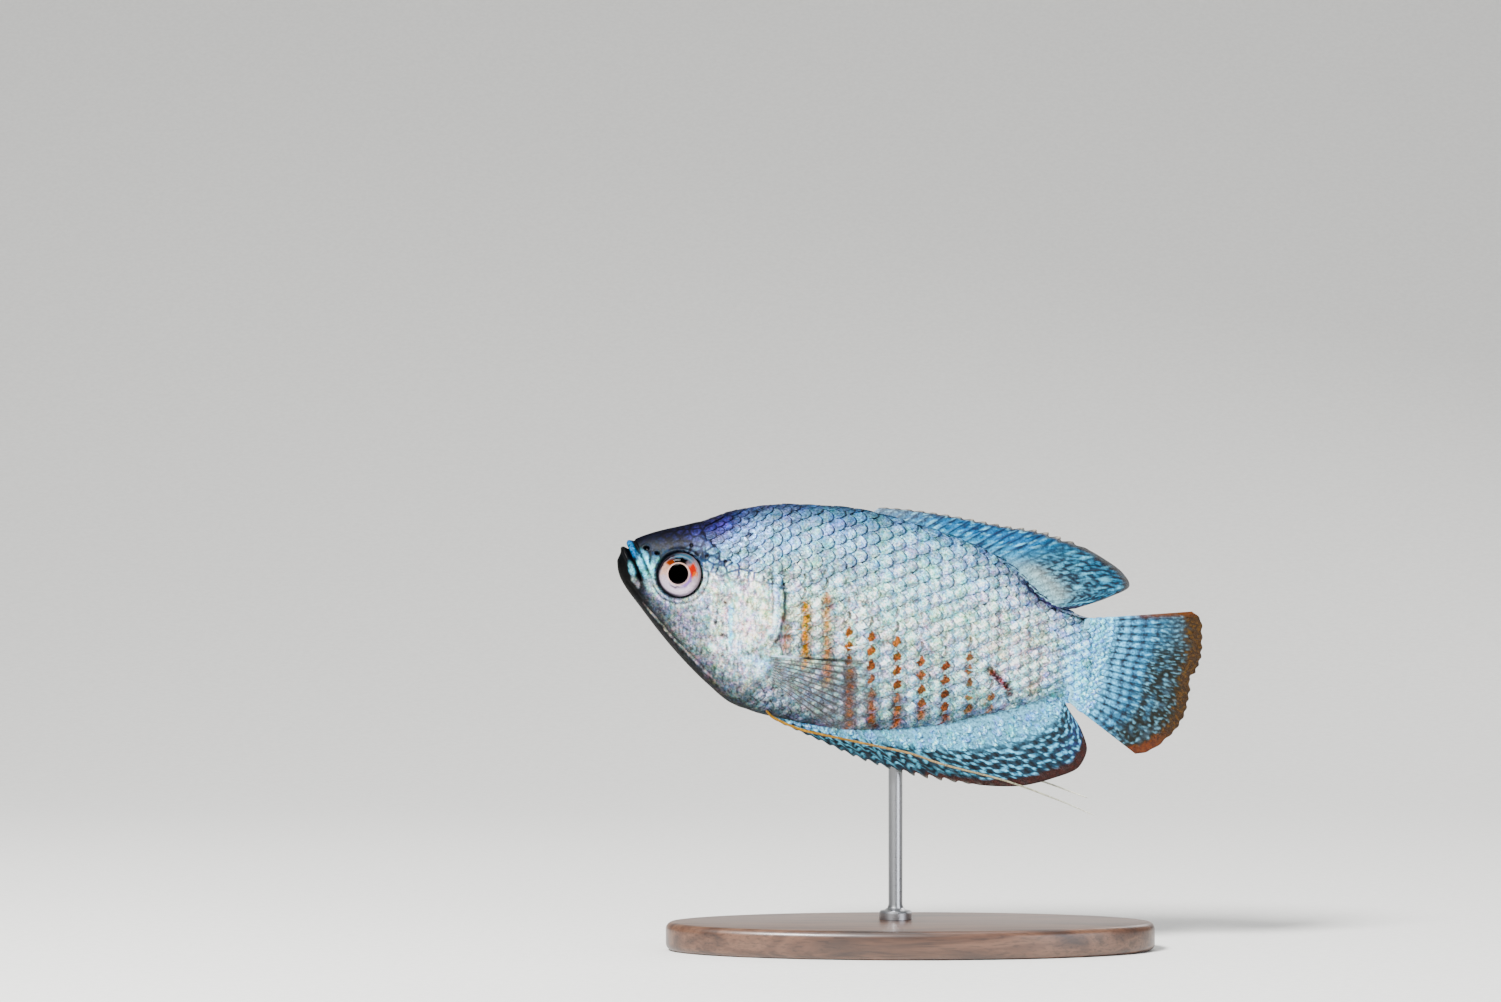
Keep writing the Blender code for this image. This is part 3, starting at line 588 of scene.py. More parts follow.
        # The painted highlight is an oblong 1.6 mm long and 0.5 mm broad on a scale of the flank, and the dot is
        # 1.2 mm across. The third is the thin line through a scale. Each is as strong as its part of the play
        # attribute says
        shown, spotted, lined = (
            add_node(tree, "Math", {"operation": "MULTIPLY", 0: self.oval(tree, aside, back, ragged, *oval),
                                    1: play.outputs[part]})
            for part, *oval in (("Red", 0.66, 0.5, (0.46, 0.12)), ("Blue", 0.62, 0.25, (0.34, 0.15)),
                                ("Green", 0.64, 0.15, (1.2, 0.07))))
        outside_highlight = add_node(tree, "Mix", {"data_type": "RGBA", "blend_type": "MULTIPLY", 0: 1.0, 6: tint,
                                      7: (0.57, 0.6, 0.64, 1.0)})
        pale = add_node(tree, "Mix", {"data_type": "RGBA", "blend_type": "SCREEN", 0: 1.0, 6: tint, 7: tint})
        with_painted_highlight = add_node(tree, "Mix", {"data_type": "RGBA", 0: shown, 6: outside_highlight, 7: pale})
        either = add_node(tree, "Math", {"operation": "MAXIMUM", 0: spotted, 1: lined})
        rusty = add_node(tree, "Mix", {"data_type": "RGBA", 0: either, 6: with_painted_highlight, 7: rust})
        # The rim darkens at the free edge, where the pocket under it shows through
        rim = add_node(tree, "MapRange", {"interpolation_type": "SMOOTHSTEP", "From Min": 0.88,
                                          "From Max": 0.96, "Value": back})
        dark = add_node(tree, "Math", {"operation": "MULTIPLY", 0: rim, 1: tint.outputs["Alpha"]})
        return add_node(tree, "Mix", {"data_type": "RGBA", "blend_type": "MULTIPLY", 0: dark, 6: rusty,
                                      7: (0.1, 0.12, 0.16, 1.0)})


@dataclass(frozen=True)
class FinSkin(Finish):
    """Fin membrane: thin clear skin over horny rays, with pigment and crystals only where it is painted."""

    roughness: float = 0.38
    flash: float = 0.4
    see_through: bool = False

    def sockets(self, tree: Tree, place: Socket) -> dict:
        """Reads the piece's tint, whose alpha is how solid the membrane is."""
        tint = add_node(tree, "Attribute", {"attribute_name": "tint"})
        # Painted glints: each crystal grain painted brighter or darker at random
        grains = add_node(tree, "TexVoronoi", {"Scale": grains_of(0.2), "Vector": place})
        pick = add_node(tree, "SeparateColor", {"Color": grains.outputs["Color"]})
        level = add_node(tree, "MapRange", {"To Min": 1.0 - self.flash, "To Max": 1.0 + self.flash,
                                            "Value": pick.outputs["Blue"]})
        done = add_node(tree, "VectorMath", {"operation": "SCALE", 0: tint, "Scale": level})
        crinkle = add_node(tree, "TexNoise", {"Scale": grains_of(0.3), "Vector": place})
        relief = add_node(tree, "Bump", {"Strength": 0.4, "Distance": 0.015 * MM, "Height": crinkle})
        solid = {"Alpha": tint.outputs["Alpha"]} if self.see_through else {}
        return {"Base Color": done, "Normal": relief, "Roughness": self.roughness, "Coat Weight": 0.06,
                "Coat Roughness": 0.2, "IOR": 1.4, "Specular IOR Level": 0.22, **solid}


@dataclass(frozen=True)
class EyeGloss(Finish):
    """A fish's eye under its clear cornea: the iris's own pigments beneath a polished coat."""

    name: str = "eye_cornea_over_iris"

    def sockets(self, tree: Tree, place: Socket) -> dict:
        """Reads the eye's tint, with fine grain in the iris."""
        tint = add_node(tree, "Attribute", {"attribute_name": "tint"})
        specks = add_node(tree, "TexNoise", {"Scale": grains_of(0.16), "Detail": 3.0, "Vector": place})
        level = add_node(tree, "MapRange", {"From Min": 0.3, "From Max": 0.7, "To Min": 0.82, "To Max": 1.16,
                                            "Value": specks})
        done = add_node(tree, "VectorMath", {"operation": "SCALE", 0: tint, "Scale": level})
        return {"Base Color": done, "Roughness": 0.5, "Specular IOR Level": 0.0, "Coat Weight": 0.07,
                "Coat Roughness": 0.04, "Coat IOR": 1.376}


@dataclass(frozen=True)
class Walnut(Finish):
    """Black walnut, planed and lacquered: long dark grain lines with open pores under a satin film."""

    name: str = "walnut_satin_lacquer"
    ring_mm: float = 2.4
    pore_mm: float = 0.25

    def sockets(self, tree: Tree, place: Socket) -> dict:
        """Lays the grain along X."""
        stretched = add_node(tree, "Mapping", {"Scale": (0.09, 1.0, 1.0), "Vector": place})
        rings = add_node(tree, "TexNoise", {"Scale": grains_of(self.ring_mm), "Detail": 6.0,
                                            "Distortion": 0.6, "Vector": stretched})
        tones = set_ramp(add_node(tree, "ValToRGB", {"Fac": rings}),
                         [(0.3, "#2A1B14"), (0.46, "#4A3022"), (0.56, "#5E4130"), (0.72, "#382419")])
        fine = add_node(tree, "Mapping", {"Scale": (0.05, 1.0, 1.0), "Vector": place})
        pores = add_node(tree, "TexNoise", {"Scale": grains_of(self.pore_mm), "Vector": fine})
        dark = add_node(tree, "MapRange", {"From Min": 0.34, "From Max": 0.5, "To Min": 0.6, "Value": pores})
        done = add_node(tree, "VectorMath", {"operation": "SCALE", 0: tones, "Scale": dark})
        relief = add_node(tree, "Bump", {"Strength": 0.35, "Distance": 0.04 * MM, "Height": pores})
        return {"Base Color": done, "Normal": relief, "Roughness": 0.42, "Coat Weight": 0.35,
                "Coat Roughness": 0.22}


@dataclass(frozen=True)
class BrushedSteel(Finish):
    """Stainless steel rod, brushed round its axis: bright metal with fine rings that spread the highlight."""

    name: str = "brushed_stainless_steel"
    line_mm: float = 0.12

    def sockets(self, tree: Tree, place: Socket) -> dict:
        """Lays the brush lines level."""
        flat = add_node(tree, "Mapping", {"Scale": (0.06, 0.06, 1.0), "Vector": place})
        lines = add_node(tree, "TexNoise", {"Scale": grains_of(self.line_mm), "Detail": 3.0, "Vector": flat})
        gloss = add_node(tree, "MapRange", {"To Min": 0.2, "To Max": 0.42, "Value": lines})
        relief = add_node(tree, "Bump", {"Strength": 0.3, "Distance": 0.01 * MM, "Height": lines})
        return {"Base Color": (*linear("#A4A5A8"), 1.0), "Roughness": gloss, "Normal": relief,
                "Metallic": 1.0}


@dataclass(frozen=True)
class Backdrop(Finish):
    """Matt paper backdrop: off-white, with the faint tone of its fibres."""

    name: str = "matt_paper_backdrop"

    def sockets(self, tree: Tree, place: Socket) -> dict:
        """Mottles the paper faintly."""
        fibres = add_node(tree, "TexNoise", {"Scale": grains_of(1.2), "Detail": 4.0, "Vector": place})
        tone = set_ramp(add_node(tree, "ValToRGB", {"Fac": fibres}), [(0.35, "#E2E1DD"), (0.65, "#E8E7E3")])
        return {"Base Color": tone, "Roughness": 0.75}


@dataclass
class BodyForm:
    """The body's surface: its outline, its breadth, and the folds, ridges and pits of the head."""

    LENGTH = 60.5
    BACK_LINE = [(0, 0.5), (0.4, 2.0), (1.3, 3.2), (3.4, 4.65), (8.7, 7.2), (13.6, 10.0), (20.2, 12.1),
                 (29.5, 13.25), (37.0, 12.85), (43.5, 11.9), (47.0, 11.0), (50.0, 9.45), (53.0, 7.45),
                 (56.0, 6.3), (60.5, 5.75)]
    BELLY_LINE = [(0, 0.3), (0.35, -0.8), (1.0, -1.9), (4.1, -4.8), (9.4, -9.2), (14.5, -12.6),
                  (18.0, -14.35), (22.0, -15.0), (28.5, -15.1), (33.5, -14.7), (40.0, -13.2),
                  (47.0, -10.6), (55.0, -6.7), (58.0, -5.3), (60.5, -5.5)]
    HALF_BREADTH = [(0, 0.25), (0.4, 0.95), (1.3, 1.5), (3.4, 2.15), (5.3, 2.75), (8.2, 3.45), (11.5, 4.1),
                    (15.5, 4.65), (20.0, 4.85), (26.0, 4.85), (32.0, 4.55), (38.0, 4.05), (44.0, 3.4),
                    (50.0, 2.65), (56.0, 1.75), (60.5, 0.95)]
    KEEL_BELLY = [(0, 0.0), (10.0, 0.15), (22.0, 0.3), (36.0, 0.55), (60.5, 0.2)]
    KEEL_BACK = 0.12
    SWAY_FROM = 36.0
    SWAY_AT_TAIL = 1.8
    TAIL_END = 75.2
    EYE_X = 8.2
    EYE_Z = 0.3
    MOUTH = [(0.2, 2.75), (0.8, 2.35), (1.7, 1.2), (2.6, 0.0), (3.3, -1.05), (3.75, -1.8)]
    GILL_EDGE = [(17.2, 6.3), (18.9, 4.6), (20.3, 2.6), (21.3, -0.5), (21.5, -3.9), (20.3, -6.3),
                 (17.9, -7.9), (15.2, -8.3)]
    CHEEK_EDGE = [(14.2, 2.6), (14.9, 0.0), (15.5, -3.6), (16.2, -6.6), (15.4, -8.6), (13.2, -9.0)]
    THROAT_FOLD = [(4.6, -4.3), (8.4, -7.2), (12.0, -9.6), (16.0, -11.6), (19.6, -12.2)]
    JAW_FOLD = [(3.6, -1.6), (4.6, -2.9), (6.4, -4.6), (9.6, -6.6)]
    CHIN_FOLD = [(1.6, -1.7), (2.6, -2.5), (4.3, -3.9)]
    NOSTRILS = [(3.35, 2.7, 0.27), (4.8, 2.35, 0.23)]
    # Where the scales start, from belly to back: behind the gill cover, and over temple and nape
    HEAD_END = [(-17.0, 19.0), (-12.0, 20.0), (-9.0, 21.6), (-6.3, 21.3), (-3.9, 22.2), (-0.5, 22.0),
                (1.4, 20.9), (2.4, 18.2), (3.2, 14.6), (4.2, 12.6), (5.2, 10.9), (6.5, 9.6), (8.0, 8.9),
                (14.0, 8.4)]
    PORES = [(8.85, 4.25), (11.0, 3.35), (13.5, 3.2), (14.9, 4.4), (15.2, 7.0), (16.9, 5.5), (13.85, -4.6)]

    back: Line = line_field(BACK_LINE)
    belly: Line = line_field(BELLY_LINE)
    breadth: Line = line_field(HALF_BREADTH)
    keel: Line = line_field(KEEL_BELLY)
    head_end: Line = line_field(HEAD_END)

    def sway(self, x: Array) -> Array:
        """How far the swimming tail carries a point at x towards +y."""
        share = np.maximum(0.0, x - self.SWAY_FROM) / (self.TAIL_END - self.SWAY_FROM)
        return self.SWAY_AT_TAIL * share ** 2

    def heights(self, x: Array) -> tuple[Array, Array]:
        """The height of the body's middle at x, and half the body's own height there."""
        return (self.back(x) + self.belly(x)) / 2, (self.back(x) - self.belly(x)) / 2

    def share_up(self, x: Array, z: Array) -> Array:
        """How far up the body a place is, from 0 at the belly to 1 at the back."""
        return (z - self.belly(x)) / np.maximum(self.back(x) - self.belly(x), 0.3)

    def plain(self, x: Array, angle: Array) -> Array:
        """Points of the smooth body at x and an angle up from the right side, as rows."""
        middle, half_height = self.heights(x)
        keel = np.where(np.sin(angle) > 0, self.KEEL_BACK, self.keel(x))
        across = np.sign(np.cos(angle)) * np.abs(np.cos(angle)) ** (1 + keel)
        y = self.breadth(x) * across + self.sway(x)
        return np.stack([x, y, middle + half_height * np.sin(angle)], axis=-1)

    def normal(self, x: Array, angle: Array) -> Array:
        """The way out of the body at each place."""
        step = 0.03
        low_x = np.maximum(x - 0.15, 0.0)
        high_x = np.minimum(x + 0.15, self.LENGTH)
        lengthwise = self.plain(high_x, angle) - self.plain(low_x, angle)
        around = self.plain(x, angle + step) - self.plain(x, angle - step)
        return unit(np.cross(around, lengthwise))

    def flank(self, x: Array, z: Array) -> Array:
        """Half the body's breadth at x and height z, before the tail's sway."""
        middle, half_height = self.heights(x)
        angle = np.arcsin(np.clip((z - middle) / half_height, -1.0, 1.0))
        return self.plain(x, angle)[..., 1] - self.sway(x)

    def bareness(self, x: Array, z: Array) -> Array:
        """1 on the head and breast, whose skin has no scales of full size, and 0 behind them."""
        return smooth(0.7, -0.7, x - self.head_end(z))

    def relief(self, points: Array) -> Array:
        """How far the real surface stands out of the plain form, in millimetres."""
        x, z = points[:, 0], points[:, 2]
        out = -0.12 * (1 - self.bareness(x, z)) - 0.02
        side, share = along(self.MOUTH, x, z)
        lips = smooth(1.0, 0.86, share)
        out += lips * (-0.62 * hump(side, 0.0, 0.14) + 0.34 * hump(side, 0.62, 0.36)
                       + 0.30 * hump(side, -0.5, 0.32))
        out -= 0.14 * lips * hump(side, 1.25, 0.16)
        from_eye = np.hypot(x - self.EYE_X, z - self.EYE_Z)
        below = smooth(0.6, -0.6, (z - self.EYE_Z) / np.maximum(from_eye, 0.1) - 0.4)
        out += np.where(from_eye < 5.0, 0.16 * hump(from_eye, 3.15, 0.24) - 0.95 * smooth(3.0, 2.78, from_eye)
                        - below * 0.06 * hump(from_eye, 3.7, 0.2), 0.0)
        for x0, z0, radius in self.NOSTRILS:
            away = np.hypot((x - x0) / 1.35, z - z0)
            out += 0.04 * hump(away, radius * 1.5, 0.12) - 0.42 * smooth(radius * 1.1, radius * 0.5, away)
        for x0, z0 in self.PORES:
            out -= 0.10 * smooth(0.26, 0.1, np.hypot(x - x0, z - z0))
        side, share = along(self.GILL_EDGE, x, z)
        ends = smooth(0.16, 0.4, share) * smooth(1.0, 0.85, share)
        plate = smooth(0.05, -0.14, side)
        out += ends * (0.30 * plate * np.exp(np.minimum(0.0, side) / 2.6) - 0.10 * hump(side, 0.28, 0.2))
        side, share = along(self.CHEEK_EDGE, x, z)
        ends = smooth(0.0, 0.15, share) * smooth(1.0, 0.8, share)
        out += ends * (0.10 * smooth(0.1, -0.1, side) * np.exp(np.minimum(0.0, side) / 1.6)
                       - 0.09 * hump(side, 0.12, 0.16))
        for line, depth, width in ((self.THROAT_FOLD, 0.10, 0.22), (self.JAW_FOLD, 0.08, 0.18),
                                   (self.CHIN_FOLD, 0.07, 0.16)):
            side, share = along(line, x, z)
            ends = smooth(0.0, 0.1, share) * smooth(1.0, 0.8, share)
            out += ends * depth * (0.4 * hump(side, 0.4, 0.3) - hump(side, 0.0, width))
        out += 0.28 * hump(np.hypot(x - 21.3, (z + 8.7) * 0.7), 0.0, 1.1)
        return out

    def surface(self, x: Array, angle: Array) -> Array:
        """Points of the real surface, as rows."""
        points = self.plain(x, angle)
        return points + self.normal(x, angle) * self.relief(points)[:, None]

    def unwrap(self, x: Array, angle: Array) -> Array:
        """The skin's own flat layout: along the fish, and round it from the right side."""
        around = np.mod(angle / (2 * math.pi), 1.0001)
        return np.stack([0.01 + 0.98 * x / self.LENGTH, 0.01 + 0.98 * around], axis=-1)


@dataclass
class Markings:
    """The colours of body and coat, by place in the side view."""

    form: BodyForm
    # From belly to back at stations along the body. The lowest stops, at jaw, throat and belly, are painted
    # dark: their own pigment and painted shade on the underside
    STATIONS = [
        (1.0, [(0.0, "#050606"), (0.35, "#0A0B0D"), (0.6, "#0E141C"), (0.85, "#0E1018"), (1.0, "#0D0D1A")]),
        (3.2, [(0.0, "#08090A"), (0.25, "#16191C"), (0.42, "#2C383E"), (0.6, "#223846"), (0.78, "#182A3A"),
               (0.88, "#181D34"), (1.0, "#14132A")]),
        (6.0, [(0.0, "#0E1012"), (0.1, "#2A2E32"), (0.2, "#666C72"), (0.32, "#8C949C"), (0.5, "#98A8AE"),
               (0.63, "#8EC0CE"), (0.71, "#3A5468"), (0.8, "#262E4C"), (0.9, "#1E1F44"), (1.0, "#16152C")]),
        (12.0, [(0.0, "#141513"), (0.05, "#3E4044"), (0.13, "#82878B"), (0.25, "#94999F"), (0.45, "#B4B9B6"),
                (0.62, "#AEC2C4"), (0.7, "#7FA2B4"), (0.76, "#6C82A4"), (0.82, "#5A6298"), (0.92, "#463E80"),
                (1.0, "#1A1C3A")]),
        (17.0, [(0.0, "#2C2D2A"), (0.1, "#848B90"), (0.25, "#C4CACE"), (0.45, "#DDDACE"), (0.62, "#CED8D2"),
                (0.78, "#9EBED2"), (0.9, "#84A0C0"), (1.0, "#3A466C")]),
        (25.0, [(0.0, "#626C72"), (0.08, "#909DA4"), (0.25, "#BECCCA"), (0.5, "#D5DFD0"), (0.7, "#BAD2D2"),
                (0.86, "#A8CADC"), (0.95, "#6A92AC"), (1.0, "#34506E")]),
        (40.0, [(0.0, "#86A4B2"), (0.12, "#AEC6CC"), (0.35, "#C2D4D0"), (0.6, "#CCE0DA"), (0.8, "#B8D6E0"),
                (0.92, "#A6C8D8"), (1.0, "#6890AC")]),
        (54.0, [(0.0, "#8FB2C0"), (0.15, "#B4CACE"), (0.45, "#DAE2DA"), (0.8, "#C8D8DA"), (1.0, "#7A8099")]),
        (60.5, [(0.0, "#84C4E2"), (0.5, "#94D0EC"), (0.8, "#98C2D4"), (1.0, "#7E869C")]),
    ]
    # Rust bars: the column where each crosses z = 0, its top and foot, its colour, its strength, and the
    # height below which it is an unbroken stroke and not a chain of dots
    BARS = [(22.15, -3.0, -6.2, "#A4745A", 0.85, -3.0), (24.55, 0.5, -7.0, "#AE7416", 1.0, 0.5),
            (27.3, 1.7, -9.0, "#A87850", 0.85, 1.7), (30.2, -1.9, -14.0, "#8E5838", 1.0, -6.0),
            (33.05, -1.9, -13.7, "#885034", 1.0, -9.0), (36.3, -1.5, -12.8, "#865034", 1.0, -8.5),
            (39.5, -3.4, -11.3, "#825038", 1.0, -9.5), (42.6, -4.6, -11.0, "#7E4A34", 1.0, -9.5),
            (45.8, -1.6, -9.5, "#886048", 1.0, -9.0), (48.7, -6.4, -8.4, "#906A50", 1.0, -8.0)]
    BAR_WIDTH = 0.5
    BAR_COLUMN = 12
    PATCHES = [
        Spot(1.56, 2.13, 1.12, 0.5, -63, "#2E709C", 1.0, 0.3),
        Spot(2.1, -0.2, 0.85, 0.42, -62, "#78B8C0", 0.95, 0.5),
        Spot(3.85, 0.5, 1.95, 0.8, -53, "#86D2E8", 0.95, 0.45),
        Spot(3.1, 1.9, 0.5, 0.22, -50, "#5FA6C2", 0.6, 0.6),
        Spot(5.2, -1.7, 1.1, 0.7, -40, "#B0C4CA", 0.5, 0.7),
        Spot(2.9, -1.7, 0.8, 0.35, -50, "#A9B4B4", 0.6, 0.6),
        Spot(12.2, 0.2, 1.2, 1.9, 0, "#D3D4CA", 0.4, 0.8),
        Spot(13.6, 3.6, 3.4, 1.5, 8, "#7698AE", 0.7, 0.8),
        Spot(17.6, -0.6, 1.9, 3.0, 10, "#E0D8C9", 0.55, 0.8),
        Spot(18.6, -4.6, 1.7, 2.3, 0, "#E6D3CE", 0.5, 0.8),
        Spot(18.0, -7.2, 1.8, 1.1, 10, "#D5E2E8", 0.55, 0.8),
        Spot(11.6, -6.6, 2.4, 1.2, -30, "#8C919A", 0.5, 0.8),
        Spot(20.8, -8.6, 1.5, 1.3, 0, "#A9D3DF", 0.7, 0.7),
        Spot(20.2, -7.5, 0.5, 0.35, 0, "#54405A", 0.7, 0.7),
        Spot(22.0, -2.2, 0.4, 0.75, 10, "#C2955B", 0.7, 0.7),
        Spot(54.9, -4.6, 0.75, 1.5, 15, "#C9B07A", 0.55, 0.8),
        Spot(14.5, -1.9, 0.32, 0.22, 0, "#5A3C2C", 0.95, 0.6),
        Spot(15.2, -5.95, 0.3, 0.24, 0, "#3E3A36", 0.9, 0.6),
        Spot(14.3, -7.8, 0.65, 0.45, 0, "#F4FAFA", 0.75, 0.7),
    ]
    LINES = [
        Stroke([(20.0, 2.9), (20.7, 0.6), (21.2, -1.2)], 0.85, "#BCD8EE", 1.0, 0.5),
        Stroke([(21.2, -1.6), (21.5, -3.6), (20.9, -5.2)], 0.9, "#C4E8F6", 1.0, 0.5),
        # A painted shadow behind the gill cover's rear edge
        Stroke([(20.7, 3.4), (21.5, 1.0), (22.1, -1.6), (22.1, -4.4), (21.4, -6.2)], 0.42, "#3E4252", 0.9,
               0.8),
        Stroke([(15.3, -1.6), (15.7, -4.2), (16.3, -7.0)], 0.55, "#A0D8EC", 0.95, 0.7),
        Stroke([(18.4, 5.2), (19.4, 2.6), (19.9, 0.2)], 0.3, "#8FB9CC", 0.6, 0.8),
        Stroke([(2.0, -3.0), (5.2, -5.4), (9.6, -8.9), (12.6, -11.0)], 0.5, "#3A3A3A", 0.5, 0.9),
        # A painted highlight along the throat fold
        Stroke([(4.4, -4.2), (8.6, -7.5), (12.8, -10.3), (16.2, -12.4)], 0.22, "#BDBAAC", 0.4, 0.8),
        Stroke([(19.0, 4.4), (19.9, 1.8), (20.4, -0.6), (20.6, -2.2)], 0.26, "#4A4236", 0.75, 0.7),
        Stroke([(20.3, -3.9), (19.9, -5.6), (18.4, -7.4)], 0.2, "#8C8894", 0.5, 0.7),
        Stroke([(13.4, 2.6), (13.9, 0.2), (14.2, -2.6)], 0.5, "#8D9A9E", 0.4, 0.9),
        Stroke([(12.5, 1.7), (13.0, -1.1)], 0.7, "#F2E4D8", 0.6, 0.8),
        Stroke([(17.2, 2.4), (17.6, -0.4), (17.6, -3.4)], 0.45, "#EFE3D6", 0.5, 0.9),
        Stroke([(12.0, -8.6), (15.5, -9.4), (18.6, -9.2)], 0.25, "#6E7072", 0.5, 0.8),
        Stroke([(48.6, -3.2), (50.2, -4.1), (51.6, -4.9), (52.1, -6.0)], 0.8, "#6E1E0A", 1.5, 0.6),
        Stroke([(52.0, -7.0), (51.7, -8.2)], 0.55, "#A2583C", 0.6, 0.8),
        Stroke([(49.6, -6.6), (49.2, -8.0)], 0.55, "#B07048", 0.6, 0.8),
        # A painted shadow on the back, under the dorsal fin's last ray
        Stroke([(50.6, 8.6), (53.4, 6.9), (56.2, 5.9)], 0.55, "#3C2A52", 0.85, 0.7),
        Stroke([(5.9, 3.2), (7.4, 3.75), (9.2, 3.6), (10.4, 2.9)], 0.42, "#22263A", 0.85, 0.6),
        Stroke([(3.1, 3.3), (4.0, 2.0), (4.3, 0.8)], 0.36, "#14242E", 0.9, 0.7),
        Stroke([(4.5, 3.5), (5.3, 2.6), (5.5, 1.8)], 0.34, "#18242E", 0.8, 0.7),
    ]
    # Faint brown lines: the column where each crosses z = 0, its top and its foot
    FINE_LINES = [(55.0, 4.6, -3.6), (57.3, 2.6, -4.2), (49.8, 4.6, -2.2), (53.4, 3.4, -1.4)]

    def ground(self, x: Array, z: Array) -> Array:
        """The body's broad colours."""
        height = self.form.share_up(x, z)
        places = np.array([station for station, _ in self.STATIONS])
        ramps = np.stack([Ramp(stops)(height) for _, stops in self.STATIONS])
        i = np.clip(np.searchsorted(places, x, side="right") - 1, 0, len(places) - 2)
        share = smooth(0.0, 1.0, (x - places[i]) / (places[i + 1] - places[i]))[:, None]
        picked = np.arange(len(x))
        return ramps[i, picked] * (1 - share) + ramps[i + 1, picked] * share

    def bars(self, x: Array, z: Array, grains: Array) -> Layers:
        """The unbroken strokes of the rust bars, and a few faint brown lines."""
        column = x + z * FishFrame.LEAN
        strokes = [(place, joined, foot, code, strength)
                   for place, _, foot, code, strength, joined in self.BARS]
        strokes += [(place, top, foot, "#8A6A42", 0.4) for place, top, foot in self.FINE_LINES]
        layers = []
        for place, top, foot, code, strength in strokes:
            window = smooth(top + 0.8, top - 0.8, z) * smooth(foot - 0.8, foot + 0.8, z)
            across = np.minimum(1.0, 1.7 * hump(column - place - 0.2 * grains, 0.0, self.BAR_WIDTH))
            layers.append((strength * window * across * (1.0 + 0.5 * grains), code))
        return layers

    def dots(self, column: Array, z: Array) -> tuple[Array, Array, Array]:
        """The rust dot or the thin line on each scale.

        Args:
            column: The number of the scale's column, counted from the head.
            z: The scale's height.

        Returns:
            The dots' colours as rows, how strong each dot is, and how strong the line through the scale is.
        """
        colours = plain_rows("#5E4A26", len(z))
        strength = np.zeros(len(z))
        thread = np.zeros(len(z))
        for number, (_, top, foot, code, strong, joined) in enumerate(self.BARS):
            here = column == self.BAR_COLUMN + 2 * number
            inside = here & (z < top + 0.6) & (z > foot - 0.6)
            colours[inside] = linear(code)
            strength = np.where(inside, strong * np.where(z < joined, 0.5, 1.0), strength)
            thread = np.where(inside, 0.85 * strong, thread)
            thread = np.where(here & ~inside & (z > top), 0.8 * smooth(top + 8.0, top + 1.0, z), thread)
        return colours, strength, thread

    def net(self, x: Array, z: Array) -> Array:
        """How dark the net between the small scales of forehead and temple is."""
        over = np.maximum(smooth(0.2, 2.6, z) * smooth(6.4, 8.6, x),
                          smooth(2.8, 3.8, z) * smooth(3.0, 5.0, x))
        return 0.9 * over + 0.25 * smooth(5.0, 9.0, x) * smooth(-8.0, -2.0, z)

    def head(self, x: Array, z: Array) -> Layers:
        """The mouth's dark line, the nostrils, the pores and the rings round the eye: painted shade in the
        mouth's grooves, nostril pits and pores, and a painted shadow of the orbit's rim in front of the eye.
        """
        side, share = along(self.form.MOUTH, x, z)
        ends = smooth(1.0, 0.85, share)
        # Painted shade in the hollows: the mouth's grooves, then the nostril pits and the pores
        covers = [ends * strength * hump(side, place, width)
                  for place, width, strength in ((0.0, 0.24, 1.0), (1.25, 0.26, 0.85))]
        covers += [0.95 * smooth(radius * 1.5, radius * 0.8, np.hypot((x - x0) / 1.35, z - z0))
                   for x0, z0, radius in self.form.NOSTRILS]
        covers += [0.9 * smooth(0.36, 0.16, np.hypot(x - x0, z - z0)) for x0, z0 in self.form.PORES]
        pore_x, pore_z = self.form.PORES[-1]
        bright = 0.8 * hump(np.hypot(x - pore_x, z - pore_z), 0.5, 0.12)
        from_eye = np.hypot(x - self.form.EYE_X, z - self.form.EYE_Z)
        turn = np.degrees(np.arctan2(z - self.form.EYE_Z, x - self.form.EYE_X))
        lower_rear = smooth(130.0, 60.0, abs(turn + 65.0))
        front = smooth(120.0, 60.0, abs(np.mod(turn, 360.0) - 190.0))
        # The dark inner rings are strongest in front of the eye: a painted shadow of the orbit's rim
        rings = ((2.94, 0.1, "#161A22", 0.75 + 0.2 * front), (3.12, 0.2, "#1B2430", 0.85 * front),
                 (3.3, 0.14, "#C9D6DA", 0.6 * lower_rear), (3.62, 0.12, "#2B343C", 0.8 * lower_rear),
                 (3.9, 0.16, "#D5DDDE", 0.4 * lower_rear))
        return [*((cover, "#0D1018") for cover in covers), (bright, "#F4F6F4"),
                *((strength * hump(from_eye, radius, width), code)
                  for radius, width, code, strength in rings)]

    def colour(self, points: Array) -> Array:
        """The colour at each point of the body, as rows of red, green and blue."""
        x, z = points[:, 0], points[:, 2]
        grains = grain(points, 0.9, 3)
        fine = grain(points, 0.42, 7)
        marks = ((mark.cover(x + 0.16 * grains, z + 0.1 * fine), mark.colour)
                 for mark in [*self.PATCHES, *self.LINES])
        colours = mix(self.ground(x, z), *marks, *self.bars(x, z, grains), *self.head(x, z))
        # Upright strokes of light and shade over cheek and gill cover
        leaning = np.stack([x + z * FishFrame.LEAN, 0.5 * points[:, 1], 0.35 * z], axis=-1)
        strokes = grain(leaning, 0.28, 12) * smooth(24.0, 20.0, x) * smooth(6.0, 10.0, x)
        mottle = (1.0 + 0.6 * strokes + 0.14 * grain(points, 1.7, 5) + 0.2 * grains
                  + (0.2 + 0.2 * smooth(24.0, 18.0, x)) * fine)
        hue = 1.0 + 0.09 * np.stack([grain(points, 0.6, seed) for seed in (8, 9, 10)], axis=-1)
        return colours * mottle[:, None] * hue

    def rim(self, x: Array, z: Array) -> Array:
        """How dark the scales' rims are: darkest on the nape and back."""
        height = self.form.share_up(x, z)
        nape = smooth(0.62, 0.8, height) * smooth(36.0, 20.0, x)
        return np.clip(0.56 + 0.5 * nape + 0.25 * smooth(0.62, 0.82, height), 0.0, 1.0)


